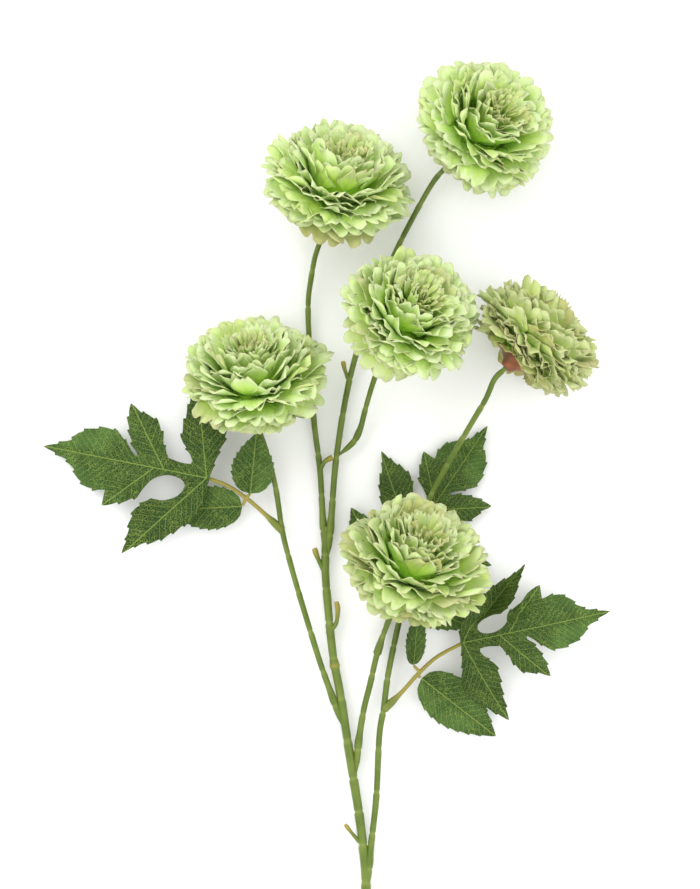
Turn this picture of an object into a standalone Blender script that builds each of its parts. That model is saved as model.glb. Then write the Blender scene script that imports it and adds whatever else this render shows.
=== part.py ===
"""A spray of pompon chrysanthemums lying on a table: six blooms and three compound leaves on one branching stem.

Metres, +Z up. The table is the plane z = 0, the stem runs along +Y towards the blooms, and the origin is the
middle of the spray's own box, on the table. All sizes and places below are in millimetres.
"""

import math
import random

import bmesh
import bpy
from mathutils import Matrix, Vector, geometry

MM = 0.001
GAP = 0.3  # left between pieces that sit on each other

# Blooms: where the middle of the head is, how far its face leans from straight up, which way in plan it faces,
# and its radius across the widest petals.
BLOOMS = {
    "upper_left": {"centre": (7.3, 179.0, 32.0), "lean": 56, "facing": 74, "radius": 38.0},
    "top_right": {"centre": (81.3, 207.5, 27.1), "lean": 40, "facing": 47, "radius": 36.5},
    "middle": {"centre": (43.5, 113.0, 50.0), "lean": 42, "facing": 56, "radius": 35.5},
    "left": {"centre": (-34.3, 82.5, 31.3), "lean": 55, "facing": 94, "radius": 37.5},
    "right": {"centre": (105.5, 101.5, 33.3), "lean": 95, "facing": 45, "radius": 35.0},
    "lower": {"centre": (45.8, -10.0, 45.5), "lean": 50, "facing": 66, "radius": 38.5},
}
TOUCHING = ("middle", "right")  # two blooms that lean on each other, so a plane between them keeps them apart
CROWN_RISE = 0.74  # height of a head above its middle, as a share of its radius
SKIRT_DROP = 0.62  # and below it
CORE_SHARE = 0.50  # the solid core's radius, as a share of the head's
CORE_FLATTEN = 0.72
PETAL_THICK = 0.8
LAP_DEG = 3.2  # neighbours in a ring lie this far above or below it, so that they overlap and don't cross

# Rings of petals from the crown to the skirt: degrees from the face's direction, number of petals,
# share of the head's outline that they reach, and width as a share of their pitch round the ring.
PETAL_RINGS = (
    (12, 2, 0.88, 0.80),
    (32, 6, 0.96, 1.25),
    (52, 8, 1.00, 1.22),
    (71, 8, 0.98, 1.20),
    (90, 8, 1.00, 1.20),
    (109, 8, 0.97, 1.20),
)

CALYX_TOP = -12.5  # along the head's axis, from its middle
CALYX_BASE = -20.0
CALYX_RADIUS = 8.5
NECK_RADIUS = 3.0
NECK_LENGTH = 8.0  # the straight end of a stem, in line with the head's axis
SEPALS = 5
SEPAL_LENGTH = 11.0
SEPAL_WIDTH = 6.0

STEM_SIDES = 6
STEM_STEP = 11.0  # between the rings of points along a stem
JOINT_EVERY = 2  # rings from one swollen joint to the next
JOINT_SWELL = 0.35
BLEND_IN = 1.2  # how far a side stem's root is sunk into the stem that carries it

# Each stem: the points that it passes through and its radius at the root and at the tip. One that ends in a
# bloom runs on from its last point to the underside of that bloom's calyx.
STEMS = {
    "main": {
        "through": [(17.0, -243.0, 2.3), (20.5, -206.0, 3.2), (21.8, -172.0, 5.0), (19.0, -141.8, 6.0),
                    (14.3, -111.4, 6.4), (9.1, -77.8, 6.6), (5.0, -55.0, 6.6), (1.8, -22.0, 6.5), (1.3, -8.0, 6.4),
                    (1.6, 8.0, 6.3)],
        "radius": (2.7, 2.1),
    },
    "to_upper_left": {
        "through": [(1.4, -6.0, 6.2), (0.0, 13.0, 5.6), (-1.4, 37.0, 5.0), (-4.6, 63.5, 4.6), (-7.0, 105.8, 5.4),
                    (-7.2, 121.5, 7.5), (-5.9, 132.0, 10.5), (-3.6, 144.0, 14.5)],
        "radius": (1.9, 1.6), "bloom": "upper_left",
    },
    "to_top_right": {
        "through": [(2.4, -8.0, 6.6), (4.4, 13.0, 7.0), (6.9, 42.8, 7.4), (12.8, 78.5, 7.8), (20.3, 105.8, 8.0),
                    (28.5, 127.0, 8.2), (36.9, 146.5, 8.4), (45.1, 162.8, 8.0), (55.4, 180.9, 7.4),
                    (63.0, 189.5, 8.4)],
        "radius": (2.0, 1.6), "bloom": "top_right",
    },
    "to_middle": {
        "through": [(7.6, 43.5, 7.6), (15.2, 50.2, 8.6), (18.8, 57.0, 10.4), (21.0, 65.2, 12.8), (23.5, 74.3, 16.0),
                    (26.8, 84.2, 20.6)],
        "radius": (1.7, 1.6), "bloom": "middle",
    },
    "to_left": {
        "through": [(10.4, -93.0, 6.6), (5.0, -78.0, 6.8), (-1.4, -60.0, 7.0), (-10.8, -29.5, 7.4), (-16.8, -8.5, 8.0),
                    (-20.3, 6.0, 8.6), (-23.8, 28.5, 9.6), (-28.5, 46.5, 12.2)],
        "radius": (1.9, 1.6), "bloom": "left",
    },
    "to_lower": {
        "through": [(16.8, -116.0, 6.6), (18.0, -101.0, 7.0), (20.7, -84.0, 7.6), (23.8, -71.5, 8.4),
                    (27.4, -55.7, 11.4), (31.6, -43.0, 17.2)],
        "radius": (2.0, 1.7), "bloom": "lower",
    },
    "to_right": {
        "through": [(22.0, -176.0, 5.2), (24.4, -152.0, 6.2), (27.0, -128.0, 6.8), (28.5, -97.5, 7.2),
                    (30.6, -84.0, 7.4), (33.0, -66.0, 7.8), (37.5, -44.0, 8.0), (44.5, -14.0, 8.0),
                    (52.3, 18.0, 8.4), (62.0, 38.0, 13.0), (74.6, 60.0, 24.0), (81.5, 72.0, 32.0)],
        "radius": (2.0, 1.7), "bloom": "right",
    },
    "stub_low": {"through": [(18.3, -150.5, 5.6), (14.5, -146.0, 7.0), (11.3, -141.8, 8.2)], "radius": (1.0, 1.2)},
    "stub_mid": {"through": [(2.4, -46.0, 6.8), (6.6, -41.0, 7.6), (7.6, -34.0, 8.4), (6.9, -29.8, 9.0)],
                 "radius": (1.2, 0.8)},
    "stub_joint": {"through": [(0.6, -14.0, 6.4), (-2.4, -8.0, 7.4), (-4.2, -3.0, 8.4)], "radius": (1.3, 1.1)},
    "stub_fork": {"through": [(-1.5, 36.5, 5.2), (1.0, 40.5, 7.4), (5.0, 43.0, 7.6)], "radius": (1.3, 1.1)},
    "stub_high": {"through": [(13.6, 80.5, 7.9), (11.4, 86.0, 9.2), (10.2, 91.0, 10.4)], "radius": (1.1, 1.3)},
}

# Compound leaves: the stalk's points from the stem to the lobed leaf, the place of the leaflet pair along it,
# the lobed leaf's heading in plan, its size beside the full one, and its set of bends in degrees.
LEAVES = {
    "left": {
        "stalk": [(-20.2, 6.0, 8.6), (-29.8, 15.0, 10.0), (-38.5, 22.4, 10.8), (-48.0, 28.6, 11.2),
                  (-58.2, 32.5, 11.2)],
        "heading": 169, "size": 1.0, "pitch": -4, "roll": 0, "droop": 5.0, "folded": False,
    },
    "right": {
        "stalk": [(30.8, -84.0, 7.4), (39.5, -75.5, 9.0), (47.8, -66.2, 11.0), (57.2, -57.6, 12.0),
                  (70.6, -50.2, 12.0)],
        "heading": 12, "size": 0.86, "pitch": 14, "roll": 0, "droop": 20.0, "folded": True,
    },
    "hidden": {
        "stalk": [(27.4, -55.7, 11.4), (31.0, -44.5, 5.0), (36.5, -26.0, 2.8), (44.3, 1.2, 2.6)],
        "heading": 56, "size": 0.82, "pitch": 0, "roll": 0, "droop": 0.4, "folded": False,
    },
}
STALK_RADIUS = (1.5, 1.0)
LEAF_THICK = 0.9
LEAF_FOLD = 0.06  # how much the blade rises to each side of its rib
LOBE_RIB = (0.604, 0.797)  # the way that the near lobe on the left points
LOBE_CREASE = 0.7  # the rise of its two halves where it is folded along that rib
LOBE_SWING = -12  # degrees that the folded lobe turns towards the leaf's tip

# The lobed leaf's outline, walked with the blade on the left: each lobe runs from a hollow to its tip and back
# to the next hollow. A side is the places that it passes, its end, and its number of teeth.
LEAF_LENGTH = 84.0
LEAF_START = (-1.5, -0.6)
LEAF_SIDES = (
    (((-2.9, -11.8), (-5.1, -21.6), (-4.0, -30.1), (2.1, -37.5)), (15.0, -50.0), 6),
    (((15.6, -32.8), (16.3, -23.2), (15.4, -16.2), (10.6, -10.6)), (8.7, -7.1), 4),
    (((9.1, -5.4), (14.5, -5.1)), (20.8, -6.2), 0),
    (((24.0, -10.9), (27.2, -19.0), (31.5, -24.0), (38.5, -25.8)), (44.8, -29.5), 4),
    (((44.4, -22.8), (43.0, -16.6), (40.0, -9.7)), (36.8, -5.4), 3),
    (((37.1, -3.7),), (39.5, -5.7), 0),
    (((45.7, -11.7), (51.3, -14.7), (58.8, -13.8), (66.8, -10.5), (72.2, -4.9)), (84.5, 0.1), 5),
    (((72.7, 3.9), (67.3, 8.0), (63.2, 13.3), (56.6, 16.3)), (49.5, 15.6), 4),
    ((), (49.6, 23.7), 0),
    (((42.0, 20.6), (34.1, 16.6)), (30.2, 10.9), 2),
    (((26.2, 5.4), (19.6, 2.4), (13.0, 3.0), (10.0, 6.1), (12.7, 11.6), (19.3, 15.2)), (25.7, 15.4), 0),
    (((32.1, 22.0), (33.7, 29.2), (33.6, 36.4)), (35.1, 45.5), 4),
    (((26.9, 39.0), (18.9, 35.7), (10.8, 29.1), (4.2, 22.0), (0.4, 13.4)), (-1.5, 0.6), 6),
)
LEAF_RIBS = (
    ((0.0, 0.0), (7.0, 0.2), (15.0, 0.0), (28.0, -0.5), (42.0, 0.0), (56.0, 0.0), (70.0, 0.0)),
    ((6.0, -15.0), (9.0, -32.0)),
    ((9.0, 14.0), (20.0, 27.0)),
    ((33.0, -17.0),),
)
TOOTH = 1.3  # how far a tooth stands out of the edge

# Leaflets: where each one's base is, its heading, length, width, and the height of its tip above its base.
LEAFLETS = {
    "left_up": {"base": (-36.3, 24.6, 13.6), "heading": 84, "length": 31, "width": 20.5, "rise": 5.0, "roll": 0},
    "left_down": {"base": (-40.4, 18.2, 8.6), "heading": 183, "length": 40, "width": 21, "rise": -3.5, "roll": 0},
    "right_up": {"base": (45.4, -61.4, 12.6), "heading": 84, "length": 29, "width": 15, "rise": 1.5, "roll": 52},
    "right_down": {"base": (49.6, -68.2, 11.4), "heading": -38, "length": 48, "width": 24, "rise": -5.0, "roll": 0},
    "hidden_up": {"base": (34.4, -20.4, 4.0), "heading": 118, "length": 43, "width": 20, "rise": 0.4, "roll": 0},
    "hidden_down": {"base": (41.2, -24.4, 4.0), "heading": -30, "length": 38, "width": 20, "rise": -0.6, "roll": 0},
}

COLOURS = {
    "petal": (0.62, 0.82, 0.38),
    "stem": (0.35, 0.46, 0.16),
    "leaf": (0.07, 0.20, 0.06),
    "calyx": (0.42, 0.20, 0.10),
}


def clear_scene():
    for thing in list(bpy.data.objects):
        bpy.data.objects.remove(thing)


def material(name, roughness):
    made = bpy.data.materials.new(name)
    made.use_nodes = True
    shader = made.node_tree.nodes["Principled BSDF"]
    shader.inputs["Base Color"].default_value = (*COLOURS[name], 1.0)
    shader.inputs["Roughness"].default_value = roughness
    shader.inputs["Metallic"].default_value = 0.0
    return made


def solid(name, points, faces):
    """A mesh object from points in millimetres, with its faces turned outwards."""
    mesh = bpy.data.meshes.new(name)
    mesh.from_pydata([Vector(p) * MM for p in points], [], faces)
    shape = bmesh.new()
    shape.from_mesh(mesh)
    bmesh.ops.recalc_face_normals(shape, faces=shape.faces)
    shape.to_mesh(mesh)
    shape.free()
    thing = bpy.data.objects.new(name, mesh)
    bpy.context.scene.collection.objects.link(thing)
    return thing


def apply_modifiers(thing):
    bpy.context.view_layer.objects.active = thing
    for modifier in list(thing.modifiers):
        bpy.ops.object.modifier_apply(modifier=modifier.name)


def fuse(body, pieces):
    """Join the pieces to the body with one Boolean union, and remove them."""
    pile = bpy.data.collections.new("pieces")
    bpy.context.scene.collection.children.link(pile)
    for piece in pieces:
        bpy.context.scene.collection.objects.unlink(piece)
        pile.objects.link(piece)
    union = body.modifiers.new("union", "BOOLEAN")
    union.operation = "UNION"
    union.operand_type = "COLLECTION"
    union.collection = pile
    apply_modifiers(body)
    for piece in pieces:
        bpy.data.objects.remove(piece)
    bpy.data.collections.remove(pile)


def keep_side(body, point, normal):
    """Cut away what lies behind the plane through the point, and drop any scrap that this leaves loose."""
    reach = 300.0
    corners = [(x, y, z) for x in (-reach, reach) for y in (-reach, reach) for z in (-2 * reach, 0)]
    sides = [(0, 1, 3, 2), (4, 6, 7, 5), (0, 4, 5, 1), (2, 3, 7, 6), (0, 2, 6, 4), (1, 5, 7, 3)]
    block = solid("block", corners, sides)
    turn = Vector(normal).to_track_quat("Z", "Y").to_matrix().to_4x4()
    block.matrix_world = Matrix.Translation(Vector(point) * MM) @ turn
    bpy.context.view_layer.update()
    cut = body.modifiers.new("cut", "BOOLEAN")
    cut.operation = "DIFFERENCE"
    cut.object = block
    apply_modifiers(body)
    bpy.data.objects.remove(block)
    drop_scraps(body)


def drop_scraps(body):
    """Keep only the largest connected piece of the body."""
    shape = bmesh.new()
    shape.from_mesh(body.data)
    left, islands = set(shape.verts), []
    while left:
        island, front = set(), [left.pop()]
        while front:
            vert = front.pop()
            island.add(vert)
            near = {edge.other_vert(vert) for edge in vert.link_edges} & left
            left -= near
            front.extend(near)
        islands.append(island)
    islands.sort(key=len)
    scraps = [vert for island in islands[:-1] for vert in island]
    bmesh.ops.delete(shape, geom=scraps, context="VERTS")
    shape.to_mesh(body.data)
    shape.free()


def finish(thing, name, colour):
    """Name a node and give it its material."""
    thing.name = name
    thing.data.name = name
    thing.data.materials.clear()
    thing.data.materials.append(colour)
    return thing


def strip(low, high):
    """Triangles between two rows of point numbers that need not be equally many."""
    faces, i, j = [], 0, 0
    while i < len(low) - 1 or j < len(high) - 1:
        next_low = (i + 1) / max(1, len(low) - 1)
        next_high = (j + 1) / max(1, len(high) - 1)
        if j == len(high) - 1 or (i < len(low) - 1 and next_low < next_high):
            faces.append((low[i], low[i + 1], high[j]))
            i += 1
        else:
            faces.append((low[i], high[j + 1], high[j]))
            j += 1
    return faces


def blade(name, rows, up, thick):
    """A thin solid whose middle surface runs through rows of points, split alike on both faces."""
    offset = Vector(up).normalized() * thick / 2
    points, numbers = [], []
    for row in rows:
        numbers.append(list(range(len(points), len(points) + len(row))))
        points.extend(Vector(p) for p in row)
    total = len(points)
    top = [face for low, high in zip(numbers, numbers[1:]) for face in strip(low, high)]
    bottom = [tuple(total + n for n in reversed(face)) for face in top]
    left = [row[0] for row in numbers]
    right = [row[-1] for row in numbers]
    loop = numbers[0] + right[1:] + numbers[-1][-2::-1] + left[-2:0:-1]
    rim = []
    for a, b in zip(loop, loop[1:] + loop[:1]):
        rim += [(a, b, b + total), (a, b + total, a + total)]
    return solid(name, [p + offset for p in points] + [p - offset for p in points], top + bottom + rim)


# Blooms

def bloom_frame(spec):
    """The head's own frame: +Z is the way its face looks."""
    turn = Matrix.Rotation(math.radians(spec["facing"] - 90), 3, "Z")
    lean = Matrix.Rotation(math.radians(-spec["lean"]), 3, "X")
    frame = (turn @ lean).to_4x4()
    frame.translation = Vector(spec["centre"])
    return frame


def outline_reach(angle, radius):
    """From the head's middle to its outline, at an angle from its face's direction."""
    rise = radius * (CROWN_RISE if math.cos(angle) > 0 else SKIRT_DROP)
    return 1 / math.hypot(math.sin(angle) / radius, math.cos(angle) / rise)


def reach_in_bounds(frame, direction, reach, bounds):
    """The reach, cut short so that the tip just crosses the planes that bound the head."""
    overrun = 0.8
    world = frame.to_3x3() @ direction
    for point, normal in bounds:
        towards = -world.dot(normal)
        room = (frame.translation - Vector(point)).dot(normal) + overrun
        if towards * reach > room:
            reach = room / towards
    return reach


def petal(angle, turn, reach, half_width, bow):
    """One petal with a notched tip, from inside the core out to its reach."""
    along = Vector((math.sin(angle) * math.cos(turn), math.sin(angle) * math.sin(turn), math.cos(angle)))
    across = Vector((-math.sin(turn), math.cos(turn), 0.0))
    up = across.cross(along)

    def at(share, side, lift):
        return along * reach * share + across * side * half_width + up * lift

    rows = [
        [at(0.30, -0.30, 0.0), at(0.30, 0.30, 0.0)],
        [at(0.80, -0.92, -0.4 * bow), at(0.82, 0.0, bow), at(0.80, 0.92, -0.4 * bow)],
        [at(0.99, -0.62, -bow), at(0.93, 0.0, -0.2 * bow), at(0.99, 0.62, -bow)],
    ]
    return blade("petal", rows, up, PETAL_THICK)


def core(radius, height):
    bpy.ops.mesh.primitive_ico_sphere_add(subdivisions=2, radius=1.0)
    ball = bpy.context.object
    ball.data.transform(Matrix.Diagonal((radius * MM, radius * MM, height * MM, 1.0)))
    return ball


def make_bloom(name, spec, seed, bounds, colour):
    draw = random.Random(seed)
    frame = bloom_frame(spec)
    radius = spec["radius"]
    body = core(radius * CORE_SHARE, radius * CORE_SHARE * CORE_FLATTEN)
    petals = []
    for ring, (degrees, count, share, width) in enumerate(PETAL_RINGS):
        shift = draw.uniform(0, 1)
        pitch = 2 * math.pi / count
        for k in range(count):
            lap = LAP_DEG if k % 2 else -LAP_DEG
            angle = math.radians(degrees + lap + draw.uniform(-0.6, 0.6))
            turn = (k + shift + draw.uniform(-0.06, 0.06)) * pitch
            reach = outline_reach(angle, radius) * share * draw.uniform(0.95, 1.03)
            half_width = 0.5 * width * pitch * 0.8 * reach * max(0.42, math.sin(angle))
            direction = Vector((math.sin(angle) * math.cos(turn), math.sin(angle) * math.sin(turn), math.cos(angle)))
            reach = reach_in_bounds(frame, direction, reach, bounds)
            petals.append(petal(angle, turn, reach, half_width, bow=1.1 if ring else 0.5))
    fuse(body, petals)
    to_metres = frame.copy()
    to_metres.translation = frame.translation * MM
    body.matrix_world = to_metres
    bpy.context.view_layer.update()
    keep_side(body, frame @ Vector((0, 0, CALYX_TOP)), frame.to_3x3() @ Vector((0, 0, 1)))
    for point, normal in bounds:
        keep_side(body, point, normal)
    return finish(body, f"bloom_{name}", colour)


def make_calyx(name, spec, colour):
    """The cup behind a head, with its pointed sepals spread under the petals."""
    profile = [(NECK_RADIUS, CALYX_BASE), (NECK_RADIUS + 1.2, CALYX_BASE + 2.5), (CALYX_RADIUS, CALYX_TOP - 2.6),
               (CALYX_RADIUS, CALYX_TOP - GAP)]
    sides = 8
    points = [(r * math.cos(2 * math.pi * k / sides), r * math.sin(2 * math.pi * k / sides), z)
              for r, z in profile for k in range(sides)]
    faces = [tuple(range(sides)), tuple(range(len(points) - sides, len(points)))]
    for row in range(len(profile) - 1):
        for k in range(sides):
            a, b = row * sides + k, row * sides + (k + 1) % sides
            faces.append((a, b, b + sides, a + sides))
    cup = solid("cup", points, faces)
    sepals = []
    for k in range(SEPALS):
        turn = 2 * math.pi * (k + 0.25) / SEPALS
        out = Vector((math.cos(turn), math.sin(turn), 0))
        across = Vector((-math.sin(turn), math.cos(turn), 0))
        level = CALYX_TOP - 1.6
        rows = []
        for share, side, lift in ((0.0, 0.8, 0.0), (0.45, 1.0, -0.5), (1.0, 0.12, 0.3)):
            middle = out * (CALYX_RADIUS - 1.5 + share * (SEPAL_LENGTH + 1.5)) + Vector((0, 0, level + lift))
            rows.append([middle - across * side * SEPAL_WIDTH / 2, middle + across * side * SEPAL_WIDTH / 2])
        sepals.append(blade("sepal", rows, (0, 0, 1), PETAL_THICK))
    fuse(cup, sepals)
    to_metres = bloom_frame(spec)
    to_metres.translation = to_metres.translation * MM
    cup.matrix_world = to_metres
    return finish(cup, f"calyx_{name}", colour)


# Stem

def smooth_path(points, step):
    """Points a step apart, or a little less, on a smooth curve through the given ones."""
    points = [Vector(p) for p in points]
    ends = [points[0] * 2 - points[1], *points, points[-1] * 2 - points[-2]]
    fine = []
    for a, b, c, d in zip(ends, ends[1:], ends[2:], ends[3:]):
        for k in range(12):
            t = k / 12
            fine.append(0.5 * (2 * b + (c - a) * t + (2 * a - 5 * b + 4 * c - d) * t * t
                               + (3 * b - a - 3 * c + d) * t ** 3))
    fine.append(points[-1])
    length = [0.0]
    for a, b in zip(fine, fine[1:]):
        length.append(length[-1] + (b - a).length)
    count = max(2, math.ceil(length[-1] / step))
    path, i = [], 0
    for k in range(count + 1):
        want = length[-1] * k / count
        while i < len(fine) - 2 and length[i + 1] < want:
            i += 1
        share = (want - length[i]) / (length[i + 1] - length[i])
        path.append(fine[i].lerp(fine[i + 1], min(1.0, share)))
    return path


def tube(name, path, radii, sides, joint_every):
    """A closed round bar along the path, with a swollen joint every few rings."""
    points, faces = [], []
    side = Vector((0, 0, 1)).cross(path[1] - path[0]).normalized()
    for k, middle in enumerate(path):
        ahead = (path[min(k + 1, len(path) - 1)] - path[max(k - 1, 0)]).normalized()
        side = (side - ahead * side.dot(ahead)).normalized()
        up = ahead.cross(side)
        radius = radii[0] + (radii[1] - radii[0]) * k / (len(path) - 1)
        if joint_every and 0 < k < len(path) - 1 and k % joint_every == 0:
            radius += JOINT_SWELL
        for n in range(sides):
            turn = 2 * math.pi * n / sides
            points.append(middle + (side * math.cos(turn) + up * math.sin(turn)) * radius)
    for k in range(len(path) - 1):
        for n in range(sides):
            a, b = k * sides + n, k * sides + (n + 1) % sides
            faces.append((a, b, b + sides, a + sides))
    faces += [tuple(range(sides)), tuple(range(len(points) - sides, len(points)))]
    return solid(name, points, faces)


def stem_points(spec):
    """A stem's points, run on to a place on the head's axis where it carries a bloom."""
    points = [Vector(p) for p in spec["through"]]
    if "bloom" in spec:
        points.append(bloom_frame(BLOOMS[spec["bloom"]]) @ Vector((0, 0, CALYX_BASE - NECK_LENGTH)))
    return points


def make_stem(colour):
    bars = []
    for name, spec in STEMS.items():
        stub = name.startswith("stub")
        path = smooth_path(stem_points(spec), STEM_STEP / 2 if stub else STEM_STEP)
        if "bloom" in spec:
            path.append(bloom_frame(BLOOMS[spec["bloom"]]) @ Vector((0, 0, CALYX_BASE - GAP)))
        bars.append(tube(name, path, spec["radius"], 6 if stub else STEM_SIDES, 0 if stub else JOINT_EVERY))
    for name, spec in LEAVES.items():
        path = smooth_path(spec["stalk"], STEM_STEP)
        bars.append(tube(f"stalk_{name}", path, STALK_RADIUS, 6, 0))
    for spec in LEAFLETS.values():
        bars.append(leaflet_stalk(spec))
    body = bars[0]
    fuse(body, bars[1:])
    keep_side(body, (0, 0, 0), (0, 0, 1))
    return finish(body, "stem", colour)


def nearest_stalk_point(place):
    """The point of the leaf stalks that is nearest in plan."""
    points = [p for spec in LEAVES.values() for p in smooth_path(spec["stalk"], 2.0)]
    return min(points, key=lambda p: (p.xy - place.xy).length)


def leaflet_stalk(spec):
    """The short stalk from the leaf stalk to just short of a leaflet's base."""
    base = Vector(spec["base"])
    start = nearest_stalk_point(base)
    end = base - (base - start).normalized() * 2 * GAP
    return tube("leaflet_stalk", [start, start.lerp(end, 0.5), end], (0.8, 0.7), 6, 0)


# Leaves

def spaced_on(places, shares):
    """Points at shares of the length of a smooth path through the places, and the way it runs there."""
    places = [Vector(p) for p in places]
    ends = [2 * places[0] - places[1], *places, 2 * places[-1] - places[-2]]
    fine = []
    for a, b, c, d in zip(ends, ends[1:], ends[2:], ends[3:]):
        for k in range(20):
            t = k / 20
            square, cube = 2 * a - 5 * b + 4 * c - d, 3 * b - a - 3 * c + d
            fine.append(0.5 * (2 * b + (c - a) * t + square * t ** 2 + cube * t ** 3))
    fine.append(places[-1])
    run = [0.0]
    for a, b in zip(fine, fine[1:]):
        run.append(run[-1] + (b - a).length)
    found = []
    for share in shares:
        goal = share * run[-1]
        k = next(k for k in range(1, len(run)) if run[k] >= goal)
        part = (goal - run[k - 1]) / (run[k] - run[k - 1])
        found.append((fine[k - 1].lerp(fine[k], part), (fine[k] - fine[k - 1]).normalized()))
    return found


def toothed_side(start, through, end, teeth):
    """Points from start towards end through the given places, with a saw of teeth out to the right."""
    count = 2 * teeth if teeth else 1 + len(through)
    points = []
    for k, (point, way) in enumerate(spaced_on((start, *through, end), [k / count for k in range(count)])):
        tooth = TOOTH if teeth and k % 2 else 0.0
        points.append(point + Vector((way.y, -way.x)) * tooth)
    return points


def leaf_outline(start, sides):
    points = []
    for through, end, teeth in sides:
        points += toothed_side(start, through, end, teeth)
        start = end
    return points + [Vector(start)]


def leaf_blade(name, outline, ribs, bend, colour):
    """A thin blade over a flat outline, bent by bend(x, y), and split alike on both faces."""
    flat = [Vector(p[:2]) for p in outline]
    edge = [(k, (k + 1) % len(flat)) for k in range(len(flat))]
    inner = []
    for rib in ribs:
        numbers = range(len(flat), len(flat) + len(rib))
        flat += [Vector(p) for p in rib]
        inner += list(zip(numbers, list(numbers)[1:]))
    flat, _, faces, *_ = geometry.delaunay_2d_cdt(flat, edge + inner, [list(range(len(edge)))], 1, 1e-5)
    total = len(flat)
    half = Vector((0, 0, LEAF_THICK / 2))
    top = [bend(p.x, p.y) + half for p in flat]
    bottom = [p - 2 * half for p in top]
    ahead = {(a, b) for face in faces for a, b in zip(face, face[1:] + face[:1])}
    rim = []
    for a, b in ahead:
        if (b, a) not in ahead:
            rim += [(b, a, a + total), (b, a + total, b + total)]
    under = [tuple(total + n for n in reversed(face)) for face in faces]
    return finish(solid(name, top + bottom, [tuple(face) for face in faces] + under + rim), name, colour)


def place(thing, base, heading, pitch, roll):
    turn = Matrix.Rotation(math.radians(heading), 4, "Z")
    nod = Matrix.Rotation(math.radians(-pitch), 4, "Y")
    bank = Matrix.Rotation(math.radians(roll), 4, "X")
    thing.matrix_world = Matrix.Translation(Vector(base) * MM) @ turn @ nod @ bank


def make_leaf(name, spec, colour):
    size = spec["size"]
    outline = [p * size for p in leaf_outline(LEAF_START, LEAF_SIDES)]
    ribs = [[Vector(p) * size for p in rib] for rib in LEAF_RIBS]
    length = LEAF_LENGTH * size

    rib = Vector(LOBE_RIB)
    side = Vector((-rib.y, rib.x))
    swing = Matrix.Rotation(math.radians(LOBE_SWING), 2)

    def bend(x, y):
        flat = Vector((x, y))
        away = flat.length / length
        rise = LEAF_FOLD * min(abs(y), 8.0 * size) - spec["droop"] * away ** 2
        if spec["folded"] and y > 0 and x < 42.0 * size:
            share = min(1.0, max(0.0, (y - 7.0 * size) / (9.0 * size)))
            over = flat.dot(side) * share
            rise += LOBE_CREASE * abs(over)
            flat = flat - side * over * (1 - math.sqrt(1 - LOBE_CREASE ** 2))
            flat = flat.lerp(swing @ flat, share)
        return Vector((flat.x, flat.y, rise))

    made = leaf_blade(f"leaf_{name}", outline, ribs, bend, colour)
    base = Vector(spec["stalk"][-1]) + Vector((0, 0, STALK_RADIUS[1] + GAP + LEAF_THICK / 2))
    place(made, base, spec["heading"], spec["pitch"], spec["roll"])
    return made


def make_leaflet(name, spec, colour):
    length, half = spec["length"], spec["width"] / 2
    count = 12
    upper, lower = [], []
    for k in range(1, count):
        share = k / count
        shape = half * math.sin(math.pi * share ** 0.72) ** 0.8
        tooth = 0.8 if k % 2 else 0.0
        upper.append(Vector((length * share, shape + tooth)))
        lower.append(Vector((length * share, -shape - tooth)))
    outline = [Vector((0, 0)), *lower, Vector((length, 0)), *reversed(upper)]
    ribs = [[Vector((length * share, 0)) for share in (0.2, 0.45, 0.7)]]

    def bend(x, y):
        return Vector((x, y, LEAF_FOLD * abs(y) - 0.5 * (x / length) ** 2))

    made = leaf_blade(f"leaflet_{name}", outline, ribs, bend, colour)
    pitch = math.degrees(math.asin(spec["rise"] / length))
    place(made, spec["base"], spec["heading"], pitch, spec["roll"])
    return made


def main():
    clear_scene()
    petal_green = material("petal", 0.7)
    stem_green = material("stem", 0.45)
    leaf_green = material("leaf", 0.5)
    calyx_brown = material("calyx", 0.6)
    table = (Vector((0, 0, 0)), Vector((0, 0, 1)))
    first, second = (Vector(BLOOMS[name]["centre"]) for name in TOUCHING)
    across = (second - first).normalized()
    apart = {TOUCHING[0]: -across, TOUCHING[1]: across}
    for seed, (name, spec) in enumerate(BLOOMS.items()):
        bounds = [table]
        if name in apart:
            bounds.append(((first + second) / 2 + apart[name] * GAP, apart[name]))
        make_bloom(name, spec, seed, bounds, petal_green)
        make_calyx(name, spec, calyx_brown)
    make_stem(stem_green)
    for name, spec in LEAVES.items():
        make_leaf(name, spec, leaf_green)
    for name, spec in LEAFLETS.items():
        make_leaflet(name, spec, leaf_green)


main()
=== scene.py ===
# %% [markdown]
# # A spray of pompon chrysanthemums
#
# Six pompon heads and three compound leaves lie on a pale table, all on one jointed stem. The real thing
# is made of cloth petals and leaves threaded on moulded stems. The frame gives the solids at their true
# size and place. Each cell below replaces one kind of solid with a finer piece that keeps its form.

import math
import random

import bmesh
import bpy
import numpy as np
from mathutils import Matrix, Vector


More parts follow.
